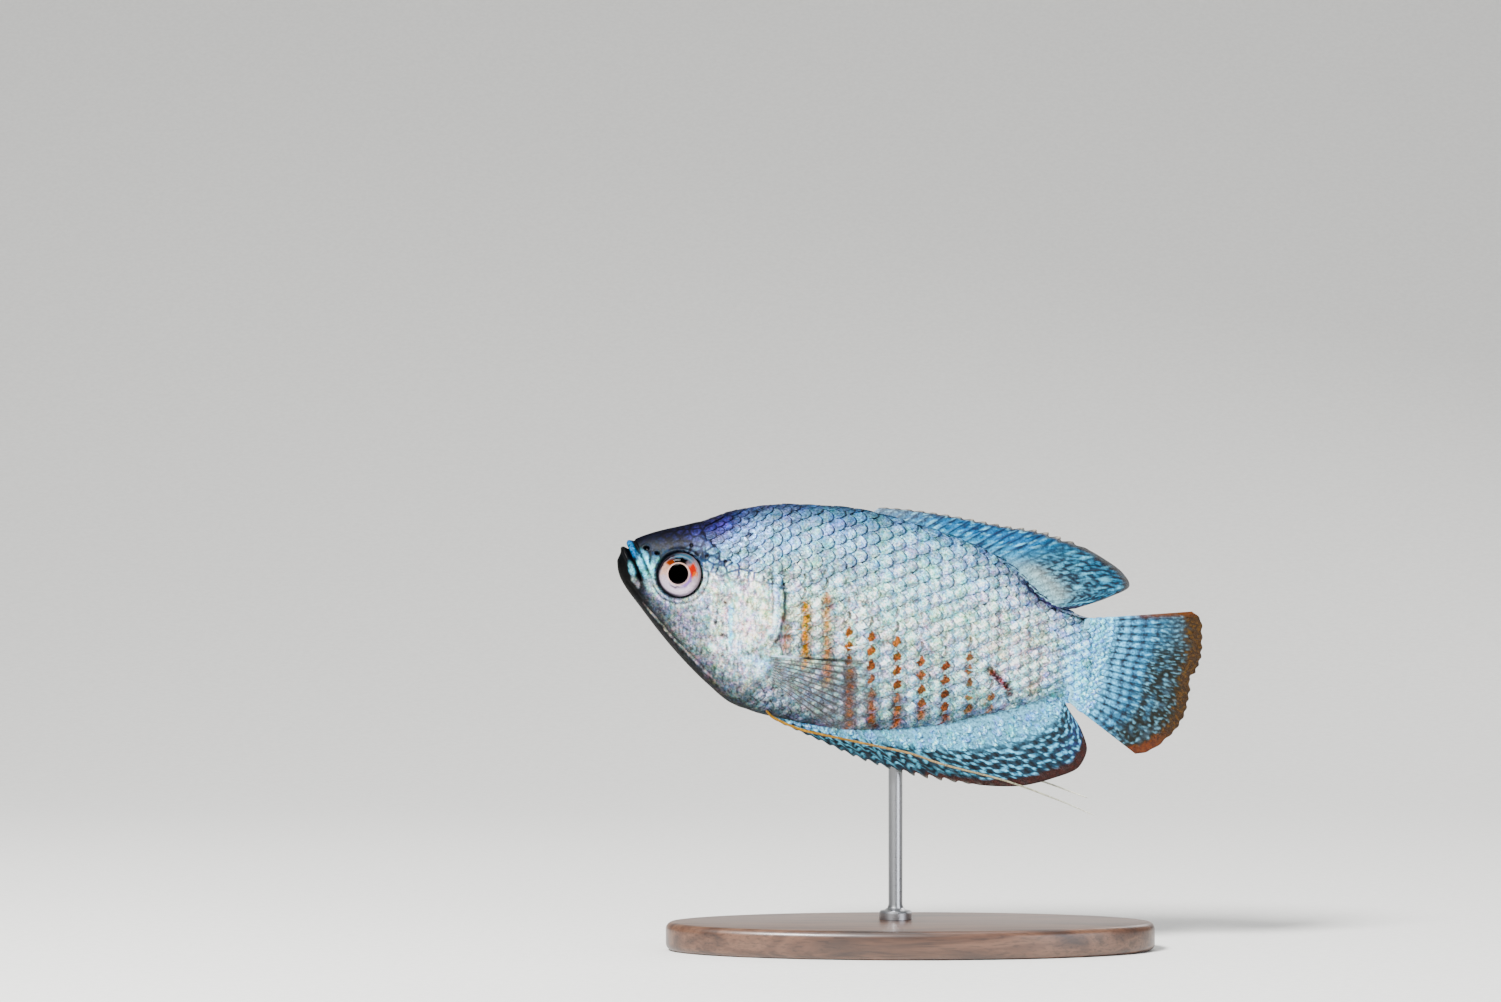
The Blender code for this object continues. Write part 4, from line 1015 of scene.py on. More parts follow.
@dataclass
class Skin:
    """The one skin over head, jaws, gill covers and body, with mouth, lips, nostrils and eye sockets."""

    form: BodyForm
    markings: Markings
    stations: int = 338
    around: int = 290
    replaced: tuple[str, ...] = ("trunk", "tail_stalk", "head", "upper_jaw", "lower_jaw", "gill_cover_left",
                                 "gill_cover_right")
    # Share of the stations reached at each length, so that the head gets the finest mesh
    crowding: Line = line_field([(0.0, 0.0), (0.08, 0.7), (0.54, 12.0), (0.79, 22.5), (1.0, 60.5)])

    def build(self) -> Object:
        """Makes the skin."""
        mesh = grid(self.stations, self.around)
        shares = corners(mesh)
        x = self.crowding(shares[:, 0])
        angle = 2 * math.pi * shares[:, 1]
        points = self.form.surface(x, angle)
        tip = self.form.surface(np.zeros(1), np.zeros(1))[0] * (1.0, 0.0, 1.0)
        points[shares[:, 0] < 1e-6] = tip
        rear = shares[:, 0] > 1 - 1e-6
        points[rear] = points[rear].mean(axis=0)
        spread_uv(mesh, "OFBake", self.form.unwrap(x, angle))
        colours = self.markings.colour(self.form.plain(x, angle))
        # The skin is painted darker wherever it lies under the scales, so the gaps between them show darker
        under = 1.0 - 0.45 * (1 - self.form.bareness(x, points[:, 2]))
        paint(mesh, colours * under[:, None], self.markings.net(x, points[:, 2]))
        piece = shape_piece("skin", mesh, points)
        piece.data.materials.append(FishSkin("wet_fish_skin", bump_mm=0.06, crinkle_mm=0.26).make())
        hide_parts(*self.replaced)
        return piece


@dataclass
class ScaleBed:
    """Where scales grow, how big they are and how they lie. Every field has a row for each scale."""

    root: Array
    rear: Array
    up: Array
    out: Array
    length: Array
    breadth: Array
    lift: Array
    bend: Array
    unwrapped: Array
    rim: Array
    dot_colour: Array
    dot: Array
    thread: Array

    def part(self, keep: Array) -> "ScaleBed":
        """Only the scales that keep marks."""
        return ScaleBed(*(getattr(self, name)[keep] for name in self.__dataclass_fields__))


@dataclass
class ScaleCoat:
    """Builds scales as closed plates, each rooted in the skin and free at its round rear edge."""

    markings: Markings
    material: Material
    across: int = 6
    along: int = 5
    thickness: float = 0.04
    sideways_tilt: float = 0.022
    patch: float = 0.003
    # Edges sharper than this stay sharp to the eye
    SHARP = math.radians(40)
    # How far apart the copies of the plate are made, before each goes to its place
    APART = 2.0

    def build(self, name: str, bed: ScaleBed, seed: int, colour: str | None = None) -> Object:
        """Makes one joined mesh of a bed's scales.

        Args:
            name: The piece's name.
            bed: The scales' places.
            seed: The seed of the scales' small differences.
            colour: An sRGB hex colour for them all, or None for the body's markings.

        Returns:
            The piece.
        """
        plate = grid(self.across, self.along, deep=True)
        local = corners(plate)
        count = len(bed.root)
        mesh = self.repeated(plate, count)
        dice = np.random.default_rng(seed)
        across, back, under = (2 * local[:, 0] - 1)[None, :], local[:, 1][None, :], local[:, 2][None, :]
        length = (bed.length * dice.uniform(0.96, 1.04, count))[:, None]
        breadth = (bed.breadth * dice.uniform(0.96, 1.05, count))[:, None]
        lift = (bed.lift * dice.uniform(0.85, 1.15, count))[:, None]
        turn = dice.normal(0.0, 0.035, count)[:, None]
        lengthwise = length * (-0.36 + back * (1 - 0.20 * across ** 2 - 0.12 * across ** 4))
        sideways = breadth / 2 * across * (0.8 + 0.2 * np.sin(math.pi * 0.85 * back))
        # Each plate's upper edge lies under the next one's lower edge
        tilt = dice.uniform(0.8, 1.2, count)[:, None] * self.sideways_tilt
        high = lift * (back - 0.3) - tilt * across - bed.bend[:, None] * sideways ** 2 / 2
        high = high - under * self.thickness * (1 - 0.55 * back)
        rear = bed.rear[:, None, :] * np.cos(turn)[..., None] + bed.up[:, None, :] * np.sin(turn)[..., None]
        up = bed.up[:, None, :] * np.cos(turn)[..., None] - bed.rear[:, None, :] * np.sin(turn)[..., None]
        points = (bed.root[:, None, :] + rear * lengthwise[..., None] + up * sideways[..., None]
                  + bed.out[:, None, :] * high[..., None])
        flat = points.reshape(-1, 3)
        uneven = dice.uniform(0.86, 1.14, count)[:, None] * dice.uniform(0.93, 1.07, (count, 3))
        colours = self.markings.colour(flat) if colour is None else plain_rows(colour, len(flat))
        paint(mesh, colours * np.repeat(uneven, len(local), axis=0), np.repeat(bed.rim, len(local)))
        rust = bed.dot_colour * dice.uniform(0.8, 1.2, (count, 1))
        paint(mesh, np.repeat(rust, len(local), axis=0), name="rust")
        # How strong each scale's painted highlight is: weaker on rust dots and on dark rims
        painted_gleam = dice.uniform(0.6, 1.0, count) * (1 - 0.9 * bed.dot) * np.clip(1.5 - 1.3 * bed.rim, 0.1, 1.0)
        play = np.stack([painted_gleam, bed.thread, bed.dot * dice.uniform(1.0, 1.1, count), np.ones(count)], axis=-1)
        store(mesh, "play", np.repeat(play, len(local), axis=0))
        spread_uv(mesh, "plate", np.tile(local[:, :2], (count, 1)))
        patch = np.clip(bed.unwrapped[:, None, :] + self.patch * (local[:, :2] - 0.5), 0.0, 1.0)
        spread_uv(mesh, "OFBake", patch.reshape(-1, 2))
        piece = shape_piece(name, mesh, flat, weld=False)
        piece.data.set_sharp_from_angle(angle=self.SHARP)
        piece.data.materials.append(self.material)
        return piece

    def repeated(self, plate: Mesh, count: int) -> Mesh:
        """A mesh of many copies of one plate, one after the other."""
        holder = in_scene("plate", plate)
        copies = holder.modifiers.new("copies", "ARRAY")
        copies.count = count
        copies.use_relative_offset = False
        copies.use_constant_offset = True
        copies.constant_offset_displace = (self.APART, 0.0, 0.0)
        graph = bpy.context.evaluated_depsgraph_get()
        mesh = bpy.data.meshes.new_from_object(holder.evaluated_get(graph), depsgraph=graph)
        bpy.data.objects.remove(holder)
        return mesh


@dataclass
class BodyScales:
    """The scales on head and body: columns that lean with the rust bars, each second one half a row up."""

    form: BodyForm
    coat: ScaleCoat
    # The columns' places at z = 0 by their number: every second one from the twelfth carries a rust bar
    COLUMNS = [(-2, 6.6), (5, 13.7), (12, 21.15), (14, 23.55), (16, 26.3), (18, 29.2), (20, 32.05),
               (22, 35.3), (24, 38.5), (26, 41.6), (28, 44.8), (30, 47.7), (36, 55.7), (41, 61.2)]
    row_pitch: Line = line_field([(6.0, 1.0), (13.0, 1.2), (20.0, 1.8), (40.0, 1.84), (52.0, 1.5),
                                  (60.0, 1.2)])
    lift: float = 0.075
    ridge_breadth: float = 1.7
    # Where the dorsal fin starts and ends, and the height that rows of scales are counted from
    DORSAL_FIN = (29.2, 55.6)
    ROW_ZERO = 1.2
    # The middle and radius of the bare skin round the side fin's root
    BARE_X, BARE_Z, BARE_RADIUS = 21.2, -8.7, 1.5
    # How many places each column is measured at
    SAMPLES = 400
    # What each side's random draws start from, but for the side's own number
    SEED = 40

    def columns(self) -> list[tuple[int, float, float]]:
        """Each column's number, its place at z = 0 and its pitch."""
        place = Line(self.COLUMNS)
        numbers = range(self.COLUMNS[0][0], self.COLUMNS[-1][0] + 1)
        return [(number, float(place(np.array(number))), float(place(np.array(number + 0.5))
                                                                - place(np.array(number - 0.5))))
                for number in numbers[1:-1]]

    def roots(self) -> Array:
        """Rows of x, angle, column pitch, row pitch and column number, for the scales of the right side."""
        rows = []
        sweep = np.linspace(-math.pi / 2 + 0.02, math.pi / 2 - 0.02, self.SAMPLES)
        for number, place, pitch in self.columns():
            x = np.full(len(sweep), place)
            for _ in range(3):
                lean = self.form.plain(x, sweep)[:, 2] * FishFrame.LEAN
                x = np.clip(place - lean, 0.5, self.form.LENGTH - 0.2)
            curve = self.form.plain(x, sweep)
            reach = run_length(curve)
            middle = np.interp(self.ROW_ZERO, curve[:, 2], reach)
            row = float(self.row_pitch(np.array(place)))
            first = math.ceil((-middle + 0.35 * row) / row)
            last = math.floor((reach[-1] - middle - 0.3 * row) / row)
            steps = np.arange(first, last + 1) + (0.5 if number % 2 else 0.0)
            spots = middle + steps * row
            spots = spots[(spots > 0.3 * row) & (spots < reach[-1] - 0.25 * row)]
            angle = np.interp(spots, reach, sweep)
            spot_x = np.interp(spots, reach, x)
            same = np.ones(len(spots))
            rows.append(np.stack([spot_x, angle, pitch * same, row * same, number * same], axis=-1))
        return np.concatenate(rows)

    def astride(self) -> Array:
        """The same rows for the scales astride the back's ridge, before and behind the dorsal fin."""
        number, place, pitch = np.array(self.columns()).T
        x = place - self.form.back(place) * FishFrame.LEAN
        rows = np.stack([x, np.full(len(x), math.pi / 2), pitch, self.ridge_breadth * self.row_pitch(place),
                         number], axis=-1)
        return rows[(x < self.DORSAL_FIN[0]) | ((x > self.DORSAL_FIN[1]) & (x < self.form.LENGTH - 0.5))]

    def bed(self, side: Side) -> ScaleBed:
        """The scales of one side. The right side's include those astride the ridge."""
        x, angle, pitch, row, column = self.roots().T
        if side is Side.LEFT:
            angle = math.pi - angle
        else:
            x, angle, pitch, row, column = np.concatenate([self.roots(), self.astride()]).T
        points = self.form.surface(x, angle)
        out = self.form.normal(x, angle)
        step = 0.05
        around = self.form.plain(x, angle + step) - self.form.plain(x, angle - step)
        turned = self.form.normal(x, angle + step) - self.form.normal(x, angle - step)
        bend = np.linalg.norm(turned, axis=1) / np.maximum(np.linalg.norm(around, axis=1), 0.05)
        up = unit(around) * side.value
        rear = unit(np.cross(up, out))
        rear *= np.sign(rear[:, :1])
        up = unit(np.cross(out, rear))
        up *= np.sign(np.sum(up * unit(around) * side.value, axis=1))[:, None]
        bare = self.form.bareness(x, points[:, 2])
        from_ridge = abs(math.pi / 2 - abs(np.mod(angle + math.pi / 2, math.pi) - math.pi / 2))
        ridge = smooth(1.2, 0.2, from_ridge * 4.0)
        dot_colour, dot, thread = self.coat.markings.dots(column, points[:, 2])
        bed = ScaleBed(points, rear, up, out, length=2.2 * pitch * (1 - 0.2 * ridge),
                       breadth=1.16 * row * (1 - 0.35 * ridge),
                       lift=self.lift * (1 - 0.5 * bare) * (1 - 0.5 * ridge), bend=np.clip(bend, 0.0, 0.7),
                       unwrapped=self.form.unwrap(x, angle), rim=self.coat.markings.rim(x, points[:, 2]),
                       dot_colour=dot_colour, dot=dot, thread=thread)
        clear = np.hypot(x - self.BARE_X, points[:, 2] - self.BARE_Z) > self.BARE_RADIUS
        return bed.part((bare < 0.5) & clear)

    def build(self) -> list[Object]:
        """Makes the scales of both sides."""
        return [self.coat.build(f"scales_{side.name.lower()}", self.bed(side), self.SEED + side.value)
                for side in Side]


@dataclass
class Eye:
    """One eye: a flattened ball with a raised lens in a ringed, patched iris."""

    form: BodyForm
    side: Side
    from_middle: float = 2.93
    radius: float = 2.85
    depth: float = 1.15
    forward: float = math.radians(11.0)
    upward: float = math.radians(5.0)
    pupil: float = 1.3
    rise: float = 0.08
    # The share of the way from the lens's middle round to the ball's rear where the ball is broadest
    broadest: float = 0.72
    around: int = 96
    rings: int = 72
    GROUND = [(0.0, "#C4B6C8"), (0.5, "#B2A2A8"), (1.0, "#98868E")]
    # Patches of colour: the direction each lies in and how far it spreads to each side, in degrees up from
    # the rear, the radii it lies between, its colour and its strength
    PATCHES = [(27.0, 23.0, 1.5, 2.4, "#A83400", 1.0), (8.0, 12.0, 1.9, 2.4, "#C8783E", 0.5),
               (147.0, 24.0, 1.5, 2.25, "#7E3206", 0.95), (90.0, 38.0, 2.1, 2.66, "#3A6A80", 0.95),
               (148.0, 34.0, 2.3, 2.9, "#1C1418", 1.0), (94.0, 33.0, 1.25, 2.1, "#0A0B12", 1.0),
               (-25.0, 36.0, 1.4, 1.85, "#7048A0", 0.7), (-62.0, 34.0, 2.0, 2.5, "#E0CFDF", 0.7),
               (-92.0, 26.0, 1.6, 1.78, "#4A3A48", 0.8), (172.0, 24.0, 1.5, 2.3, "#BE9A88", 0.8)]

    def axes(self) -> tuple[Array, Array, Array]:
        """The ways out of the head, to the tail and up, square to each other."""
        out = unit(np.array([-math.sin(self.forward), self.side.value * math.cos(self.forward),
                             math.sin(self.upward)]))
        rear = unit(np.array([1.0, 0.0, 0.0]) - out[0] * out)
        up = np.cross(rear, out) * (1 if np.cross(rear, out)[2] > 0 else -1)
        return out, rear, up

    def iris(self, radius: Array, spin: Array) -> Array:
        """The iris's colours, by distance from its middle and angle up from the rear."""
        turn = np.degrees(spin)
        ruffle = grain(np.stack([radius * np.cos(spin), radius * np.sin(spin), 0 * spin], axis=-1), 0.45, 61)
        away = radius + 0.2 * ruffle
        layers = []
        for centre, spread, low, high, code, strength in self.PATCHES:
            aside = abs((turn + 16.0 * ruffle - centre + 180.0) % 360.0 - 180.0)
            cover = strength * smooth(spread * 1.35, spread * 0.65, aside)
            cover *= smooth(low - 0.14, low + 0.1, away)
            layers.append((cover * smooth(high + 0.14, high - 0.1, away), code))
        # The outer dark rings are strongest in front: a painted shadow of the orbit's rim on the eye
        front = 0.2 + 0.8 * smooth(120.0, 60.0, abs((turn - 190.0 + 180.0) % 360.0 - 180.0))
        rings = ((self.pupil + 0.1, 0.08, "#DDB8A8", 0.85), (2.3, 0.05, "#B8A3A8", 0.4),
                 (2.6, 0.13, "#4A444E", 0.85 * front), (2.74, 0.12, "#1B2128", front))
        layers += [(strength * hump(radius, place, width), code) for place, width, code, strength in rings]
        layers += [(smooth(2.72, 2.84, radius), "#2A2C34"),
                   (smooth(self.pupil + 0.03, self.pupil - 0.03, radius), "#030304")]
        return mix(Ramp(self.GROUND)(0.5 + 0.5 * np.sin(spin)), *layers)

    def build(self, material: Material) -> Object:
        """Makes the eye."""
        name = f"eye_{self.side.name.lower()}"
        mesh = grid(self.around, self.rings)
        shares = corners(mesh)
        spin = 2 * math.pi * shares[:, 0]
        radial = Line([(0.0, 0.0), (0.25, 1.22), (0.3, 1.42), (0.62, 2.62), (self.broadest, self.radius),
                       (1.0, 0.0)])
        radius = radial(shares[:, 1])
        front = np.where(shares[:, 1] < self.broadest, 1.0, -1.0)
        high = front * self.depth * np.sqrt(np.maximum(0.0, 1 - (radius / self.radius) ** 2))
        lens = self.rise * smooth(self.pupil + 0.12, self.pupil - 0.1, radius)
        high += np.where(shares[:, 1] < 0.5, lens, 0.0)
        high -= np.where(shares[:, 1] < 0.6, 0.07 * hump(radius, self.pupil + 0.2, 0.12), 0.0)
        out, rear, up = self.axes()
        centre = np.array([self.form.EYE_X, self.side.value * self.from_middle, self.form.EYE_Z])
        points = (centre + out * high[:, None] + rear * (radius * np.cos(spin))[:, None]
                  + up * (radius * np.sin(spin))[:, None])
        paint(mesh, self.iris(np.where(shares[:, 1] < self.broadest, radius, self.radius), spin))
        piece = shape_piece(name + "_ball", mesh, points)
        piece.data.materials.append(material)
        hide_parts(name)
        return piece


@dataclass
class Fin:
    """A fin: a thin closed sheet, raised on both faces along each ray. Subclasses place and paint it."""

    form: BodyForm
    name: str = "fin"
    node: str = "fin"
    slot: str = "blue_fins"
    rays: int = 16
    columns_per_ray: int = 6
    rows: int = 44
    membrane: float = 0.16
    ray: float = 0.5
    edge: float = 0.12
    sink: float = 1.2
    # How many places a row of scales is measured at
    SAMPLES = 200
    # Each fin's tips in rows: the share of the way across the fin, x and z
    TIPS = []

    def base(self, across: Array) -> tuple[Array, Array]:
        """Where each root is, as x and z."""
        raise NotImplementedError

    def tips(self, across: Array) -> tuple[Array, Array]:
        """Where each tip is, as x and z."""
        return self.column(self.TIPS, across, 1), self.column(self.TIPS, across, 2)

    def notch(self, across: Array) -> Array | float:
        """How far the edge is cut back between the rays' tips, as a share of the way out."""
        return 0.0

    def place(self, across: Array, out: Array) -> Array:
        """Points of the fin's middle sheet, as rows, on the lines from root to tip."""
        base_x, base_z = self.base(across)
        tip_x, tip_z = self.tips(across)
        share = out * (1 - self.notch(across))
        x = base_x + (tip_x - base_x) * share
        z = base_z + (tip_z - base_z) * share
        return np.stack([x, self.form.sway(x), z], axis=-1)

    def colours(self, across: Array, out: Array, points: Array) -> tuple[Array, Array]:
        """The colours as rows, and how solid each place is."""
        raise NotImplementedError

    def forks(self, out: Array) -> Array:
        """How far each ray's two branches have parted, as a share of the way to the next ray."""
        return np.zeros_like(out)

    def beside(self, across: Array) -> Array:
        """How far a place is from the middle of its ray, as a share of the space between rays."""
        return np.abs(np.mod(across * self.rays, 1.0) - 0.5)

    def ridge(self, across: Array, out: Array, width: float = 0.17) -> Array:
        """1 on a ray or its branches, falling to 0 on the membrane."""
        return hump(self.beside(across) - self.forks(out), 0.0, width)

    def thickness(self, across: Array, out: Array) -> Array:
        """How thick the fin is."""
        full = self.membrane + (self.ray - self.membrane) * self.ridge(across, out) * (1 - 0.55 * out)
        return full + (self.edge - full) * smooth(0.9, 1.0, out)

    def normals(self, across: Array, out: Array) -> Array:
        """The way out of the fin's face, as rows."""
        step = 0.004
        low_a, high_a = np.maximum(across - step, 0.0), np.minimum(across + step, 1.0)
        low_o, high_o = np.maximum(out - step, 0.0), np.minimum(out + step, 1.0)
        return unit(np.cross(self.place(high_a, out) - self.place(low_a, out),
                             self.place(across, high_o) - self.place(across, low_o)))

    @staticmethod
    def unwrap(across: Array, out: Array, face: Array | bool) -> Array:
        """The fin's own flat layout, with its second face beside the first."""
        return np.stack([0.01 + 0.48 * across + 0.5 * face, 0.01 + 0.98 * out], axis=-1)

    def build(self, material: Material) -> Object:
        """Makes the fin."""
        mesh = grid(self.rays * self.columns_per_ray, self.rows, deep=True)
        across, out, face = corners(mesh).T
        middle = self.place(across, out)
        half = (2 * face - 1)[:, None] * (self.thickness(across, out) / 2)[:, None]
        paint(mesh, *self.colours(across, out, middle))
        spread_uv(mesh, "OFBake", self.unwrap(across, out, face))
        piece = shape_piece(self.name, mesh, middle + self.normals(across, out) * half)
        piece.data.materials.append(material)
        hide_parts(self.node)
        return piece

    @staticmethod
    def column(rows: list[tuple[float, float, float]], across: Array, number: int) -> Array:
        """One column of a fin's rows, read at each share of the way across."""
        return Line([(row[0], row[number]) for row in rows])(across)

    @staticmethod
    def streaks(across: Array, out: Array, many: float, breaks: float, seed: int) -> Array:
        """Uneven streaks that run out along the rays, from about -1 to 1."""
        return grain(np.stack([across * many, out * breaks, 0 * out], axis=-1), 1.0, seed)

    def bed(self, low: float, high: float, pitch: float = 0.8, size: float = 2.0) -> ScaleBed:
        """Small scales over the fin's base, on both faces.

        Args:
            low: The share of the way out where they start.
            high: The share where they end.
            pitch: The space between them along the fin, in millimetres.
            size: The scales' length over that space.

        Returns:
            The scales' places.
        """
        places = []
        sweep = np.linspace(0.0, 1.0, self.SAMPLES)
        out = low
        while out < high:
            strip = self.place(sweep, np.full(self.SAMPLES, out))
            reach = run_length(strip)
            spots = np.arange(0.5 + 0.5 * (len(places) % 2), reach[-1] / pitch - 0.4) * pitch
            across = np.interp(spots, reach, sweep)
            places.append(np.stack([across, np.full(len(across), out)], axis=-1))
            one, two = (self.place(np.array([0.5]), np.array([place])) for place in (out, out + 0.01))
            out += 0.01 * pitch * 0.8 / max(float(np.linalg.norm(two - one)), 1e-4)
        across, out = np.concatenate(places).T
        points = self.place(across, out)
        rear = unit(self.place(across, np.minimum(out + 0.02, 1.0)) - points)
        normal = self.normals(across, out)
        up = unit(np.cross(normal, rear))
        inside = (self.thickness(across, out) / 2 - 0.03)[:, None]
        beds = [(points + normal * face * inside, rear, up, normal * face,
                 self.unwrap(across, out, face > 0), out) for face in (-1.0, 1.0)]
        roots, rear, up, normal, unwrapped, out = (np.concatenate(group) for group in zip(*beds))
        fade = smooth(high + 0.02, low, out)
        whole = np.ones(len(roots))
        return ScaleBed(roots, rear, up, normal, length=size * pitch * (0.75 + 0.25 * fade),
                        breadth=1.15 * pitch * whole, lift=(0.02 + 0.05 * fade), bend=0.0 * whole,
                        unwrapped=unwrapped, rim=0.5 * whole, dot_colour=np.zeros((len(roots), 3)),
                        dot=0.0 * whole, thread=0.0 * whole)


@dataclass
class DorsalFin(Fin):
    """The long fin of the back: stiff spines in front, a soft pointed lobe behind."""

    name: str = "dorsal_fin_membrane"
    node: str = "dorsal_fin"
    rays: int = 24
    root_x: Line = line_field([(0.0, 29.6), (0.67, 49.0), (1.0, 54.8)])
    TIPS = [(0.0, 31.2, 13.95), (0.1, 34.8, 14.45), (0.25, 40.6, 14.85), (0.42, 47.2, 15.0),
            (0.54, 51.9, 15.3), (0.64, 55.8, 14.8), (0.74, 60.2, 13.5), (0.82, 63.2, 12.1),
            (0.88, 64.3, 10.7), (0.94, 61.8, 8.6), (1.0, 58.2, 6.5)]

    def base(self, across: Array) -> tuple[Array, Array]:
        """Roots sunk in the back."""
        return self.root_x(across), self.form.back(self.root_x(across)) - self.sink

    def notch(self, across: Array) -> Array:
        """Cut back between the tips of the spines."""
        return 0.09 * (1 - hump(self.beside(across), 0.0, 0.3)) * smooth(0.72, 0.6, across)

    def colours(self, across: Array, out: Array, points: Array) -> tuple[Array, Array]:
        """Bright blue with navy spines in front, a pale blue flecked lobe with a dark edge, and painted shadow
        along the last rays, where the lobe lies on the back.
        """
        rays = self.ridge(across, out, 0.16)
        lobe = smooth(0.55, 0.72, across)
        dark, light, flecks = (self.streaks(across, out, *kind)
                               for kind in ((70.0, 5.0, 11), (60.0, 7.0, 12), (75.0, 22.0, 13)))
        colours = Ramp([(0.0, "#6E93A6"), (0.3, "#4F92B8"), (0.6, "#2F78AA"), (1.0, "#28618C")])(out)
        pale = Ramp([(0.0, "#7FA3B0"), (0.25, "#8DB4BE"), (0.45, "#6C9FB4"), (0.75, "#4E8DAE"),
                     (1.0, "#3E82A8")])(out)
        beige = smooth(0.6, 0.72, across) * smooth(0.95, 0.85, across) * hump(out, 0.3, 0.1)
        tips = smooth(0.9, 0.98, out)
        colours = mix(
            colours * (1 - lobe)[:, None] + pale * lobe[:, None],
            ((1 - lobe) * 0.7 * smooth(0.0, 0.45, dark), "#1A2650"),
            ((1 - lobe) * 0.75 * smooth(0.1, 0.5, light) * smooth(0.1, 0.4, out), "#8FD2EA"),
            ((1 - lobe) * rays * (0.45 + 0.5 * out), "#101A44"),
            (0.55 * smooth(0.3, 0.0, across), "#8A98A0"),
            (lobe * 0.95 * smooth(-0.25, 0.1, flecks) * smooth(0.18, 0.45, out), "#1E2C40"),
            (lobe * 0.7 * smooth(0.12, 0.5, light) * smooth(0.2, 0.5, out), "#7CC4DE"),
            (lobe * 0.6 * rays * smooth(0.3, 0.6, out), "#20364E"),
            (0.25 * beige, "#B9A890"),
            (0.8 * tips, "#3A3330"),
            (0.8 * tips * rays * smooth(0.7, 0.6, across), "#C9BFAE"),
            # Painted shadow along the last rays, where the lobe lies on the back
            (smooth(0.965, 0.99, across) * 0.8, "#3C2A52"))
        return colours, 0.96 - 0.3 * smooth(0.9, 1.0, out)


@dataclass
class AnalFin(Fin):
    """The belly's long fin: dark and spiny in front, scaled at its base, spotted and red-edged behind."""

    name: str = "anal_fin_membrane"
    node: str = "anal_fin"
    rays: int = 31
    rows: int = 52
    root_x: Line = line_field([(0.0, 23.0), (0.5, 40.0), (1.0, 58.2)])
    TIPS = [(0.0, 24.4, -15.5), (0.12, 30.0, -16.7), (0.25, 36.5, -18.05), (0.38, 43.0, -18.55),
            (0.5, 49.5, -18.1), (0.62, 55.2, -17.2), (0.74, 60.0, -15.1), (0.83, 62.9, -12.9),
            (0.89, 63.35, -10.9), (0.95, 62.1, -8.4), (1.0, 60.1, -6.35)]

    def base(self, across: Array) -> tuple[Array, Array]:
        """Roots sunk in the belly."""
        return self.root_x(across), self.form.belly(self.root_x(across)) + self.sink

    def notch(self, across: Array) -> Array:
        """Cut back between the tips of the spines."""
        return 0.10 * (1 - hump(self.beside(across), 0.0, 0.28)) * smooth(0.55, 0.4, across)

    def colours(self, across: Array, out: Array, points: Array) -> tuple[Array, Array]:
        """Navy with cyan flecks in front, pale cyan at the base, spotted rows behind and a red-brown edge."""
        grains = grain(points, 0.9, 21)
        fine = grain(points, 0.3, 22)
        rays = self.ridge(across, out, 0.18)
        light = self.streaks(across, out, 62.0, 16.0, 23)
        front = smooth(0.7, 0.45, across)
        start = 0.34 + 0.1 * smooth(0.1, 0.5, across)
        navy = smooth(-0.08, 0.06, out - start + 0.06 * grains) * front
        rear = smooth(0.42, 0.58, across)
        # Oblong sky-blue spots between dark marks, in rows that follow the rays
        number = np.floor(across * self.rays)
        beat = np.cos(2 * math.pi * (out * 9.0 + 0.5 * number + 0.1 * np.sin(2.4 * number) + 0.12 * grains))
        marks = smooth(-1.0, -0.4, beat + 1.1 * grains + 0.5 * fine) * smooth(0.36, 0.56, out) * rear
        spots = smooth(-0.4, -0.9, beat + 0.9 * fine + 0.5 * grains) * smooth(0.32, 0.46, out)
        spots = spots * rear * (1 - rays)
        violet = rear * smooth(0.75, 0.9, across) * smooth(0.6, 0.8, out)
        margin_start = 1 - 0.1 * smooth(0.3, 0.5, across) * smooth(0.98, 0.88, across)
        margin = smooth(margin_start - 0.02, margin_start + 0.02, out + 0.015 * grains)
        margin *= smooth(0.26, 0.36, across)
        tips = smooth(0.93, 0.99, out) * front
        colours = mix(
            Ramp([(0.0, "#80B4CC"), (0.35, "#76B0CA"), (0.6, "#629EC0"), (1.0, "#4484AC")])(out),
            (0.6 * smooth(0.1, 0.45, fine), "#4A6472"),
            (0.93 * navy, "#0E1A2A"),
            (0.85 * navy * smooth(-0.1, 0.3, light) * smooth(1.05, 0.75, out), "#78C0DA"),
            (0.6 * rays * navy, "#080C16"),
            (0.96 * marks * (0.8 + 0.2 * rays), "#120C14"),
            (0.75 * spots, "#86D2F2"),
            (0.4 * violet * smooth(-0.2, 0.3, light), "#3C4C94"),
            (0.95 * margin, "#401402"),
            (0.4 * margin * (1 - rays), "#5A2004"),
            (0.5 * tips * rays, "#A4ACA4"))
        return colours, 0.99 - 0.05 * margin


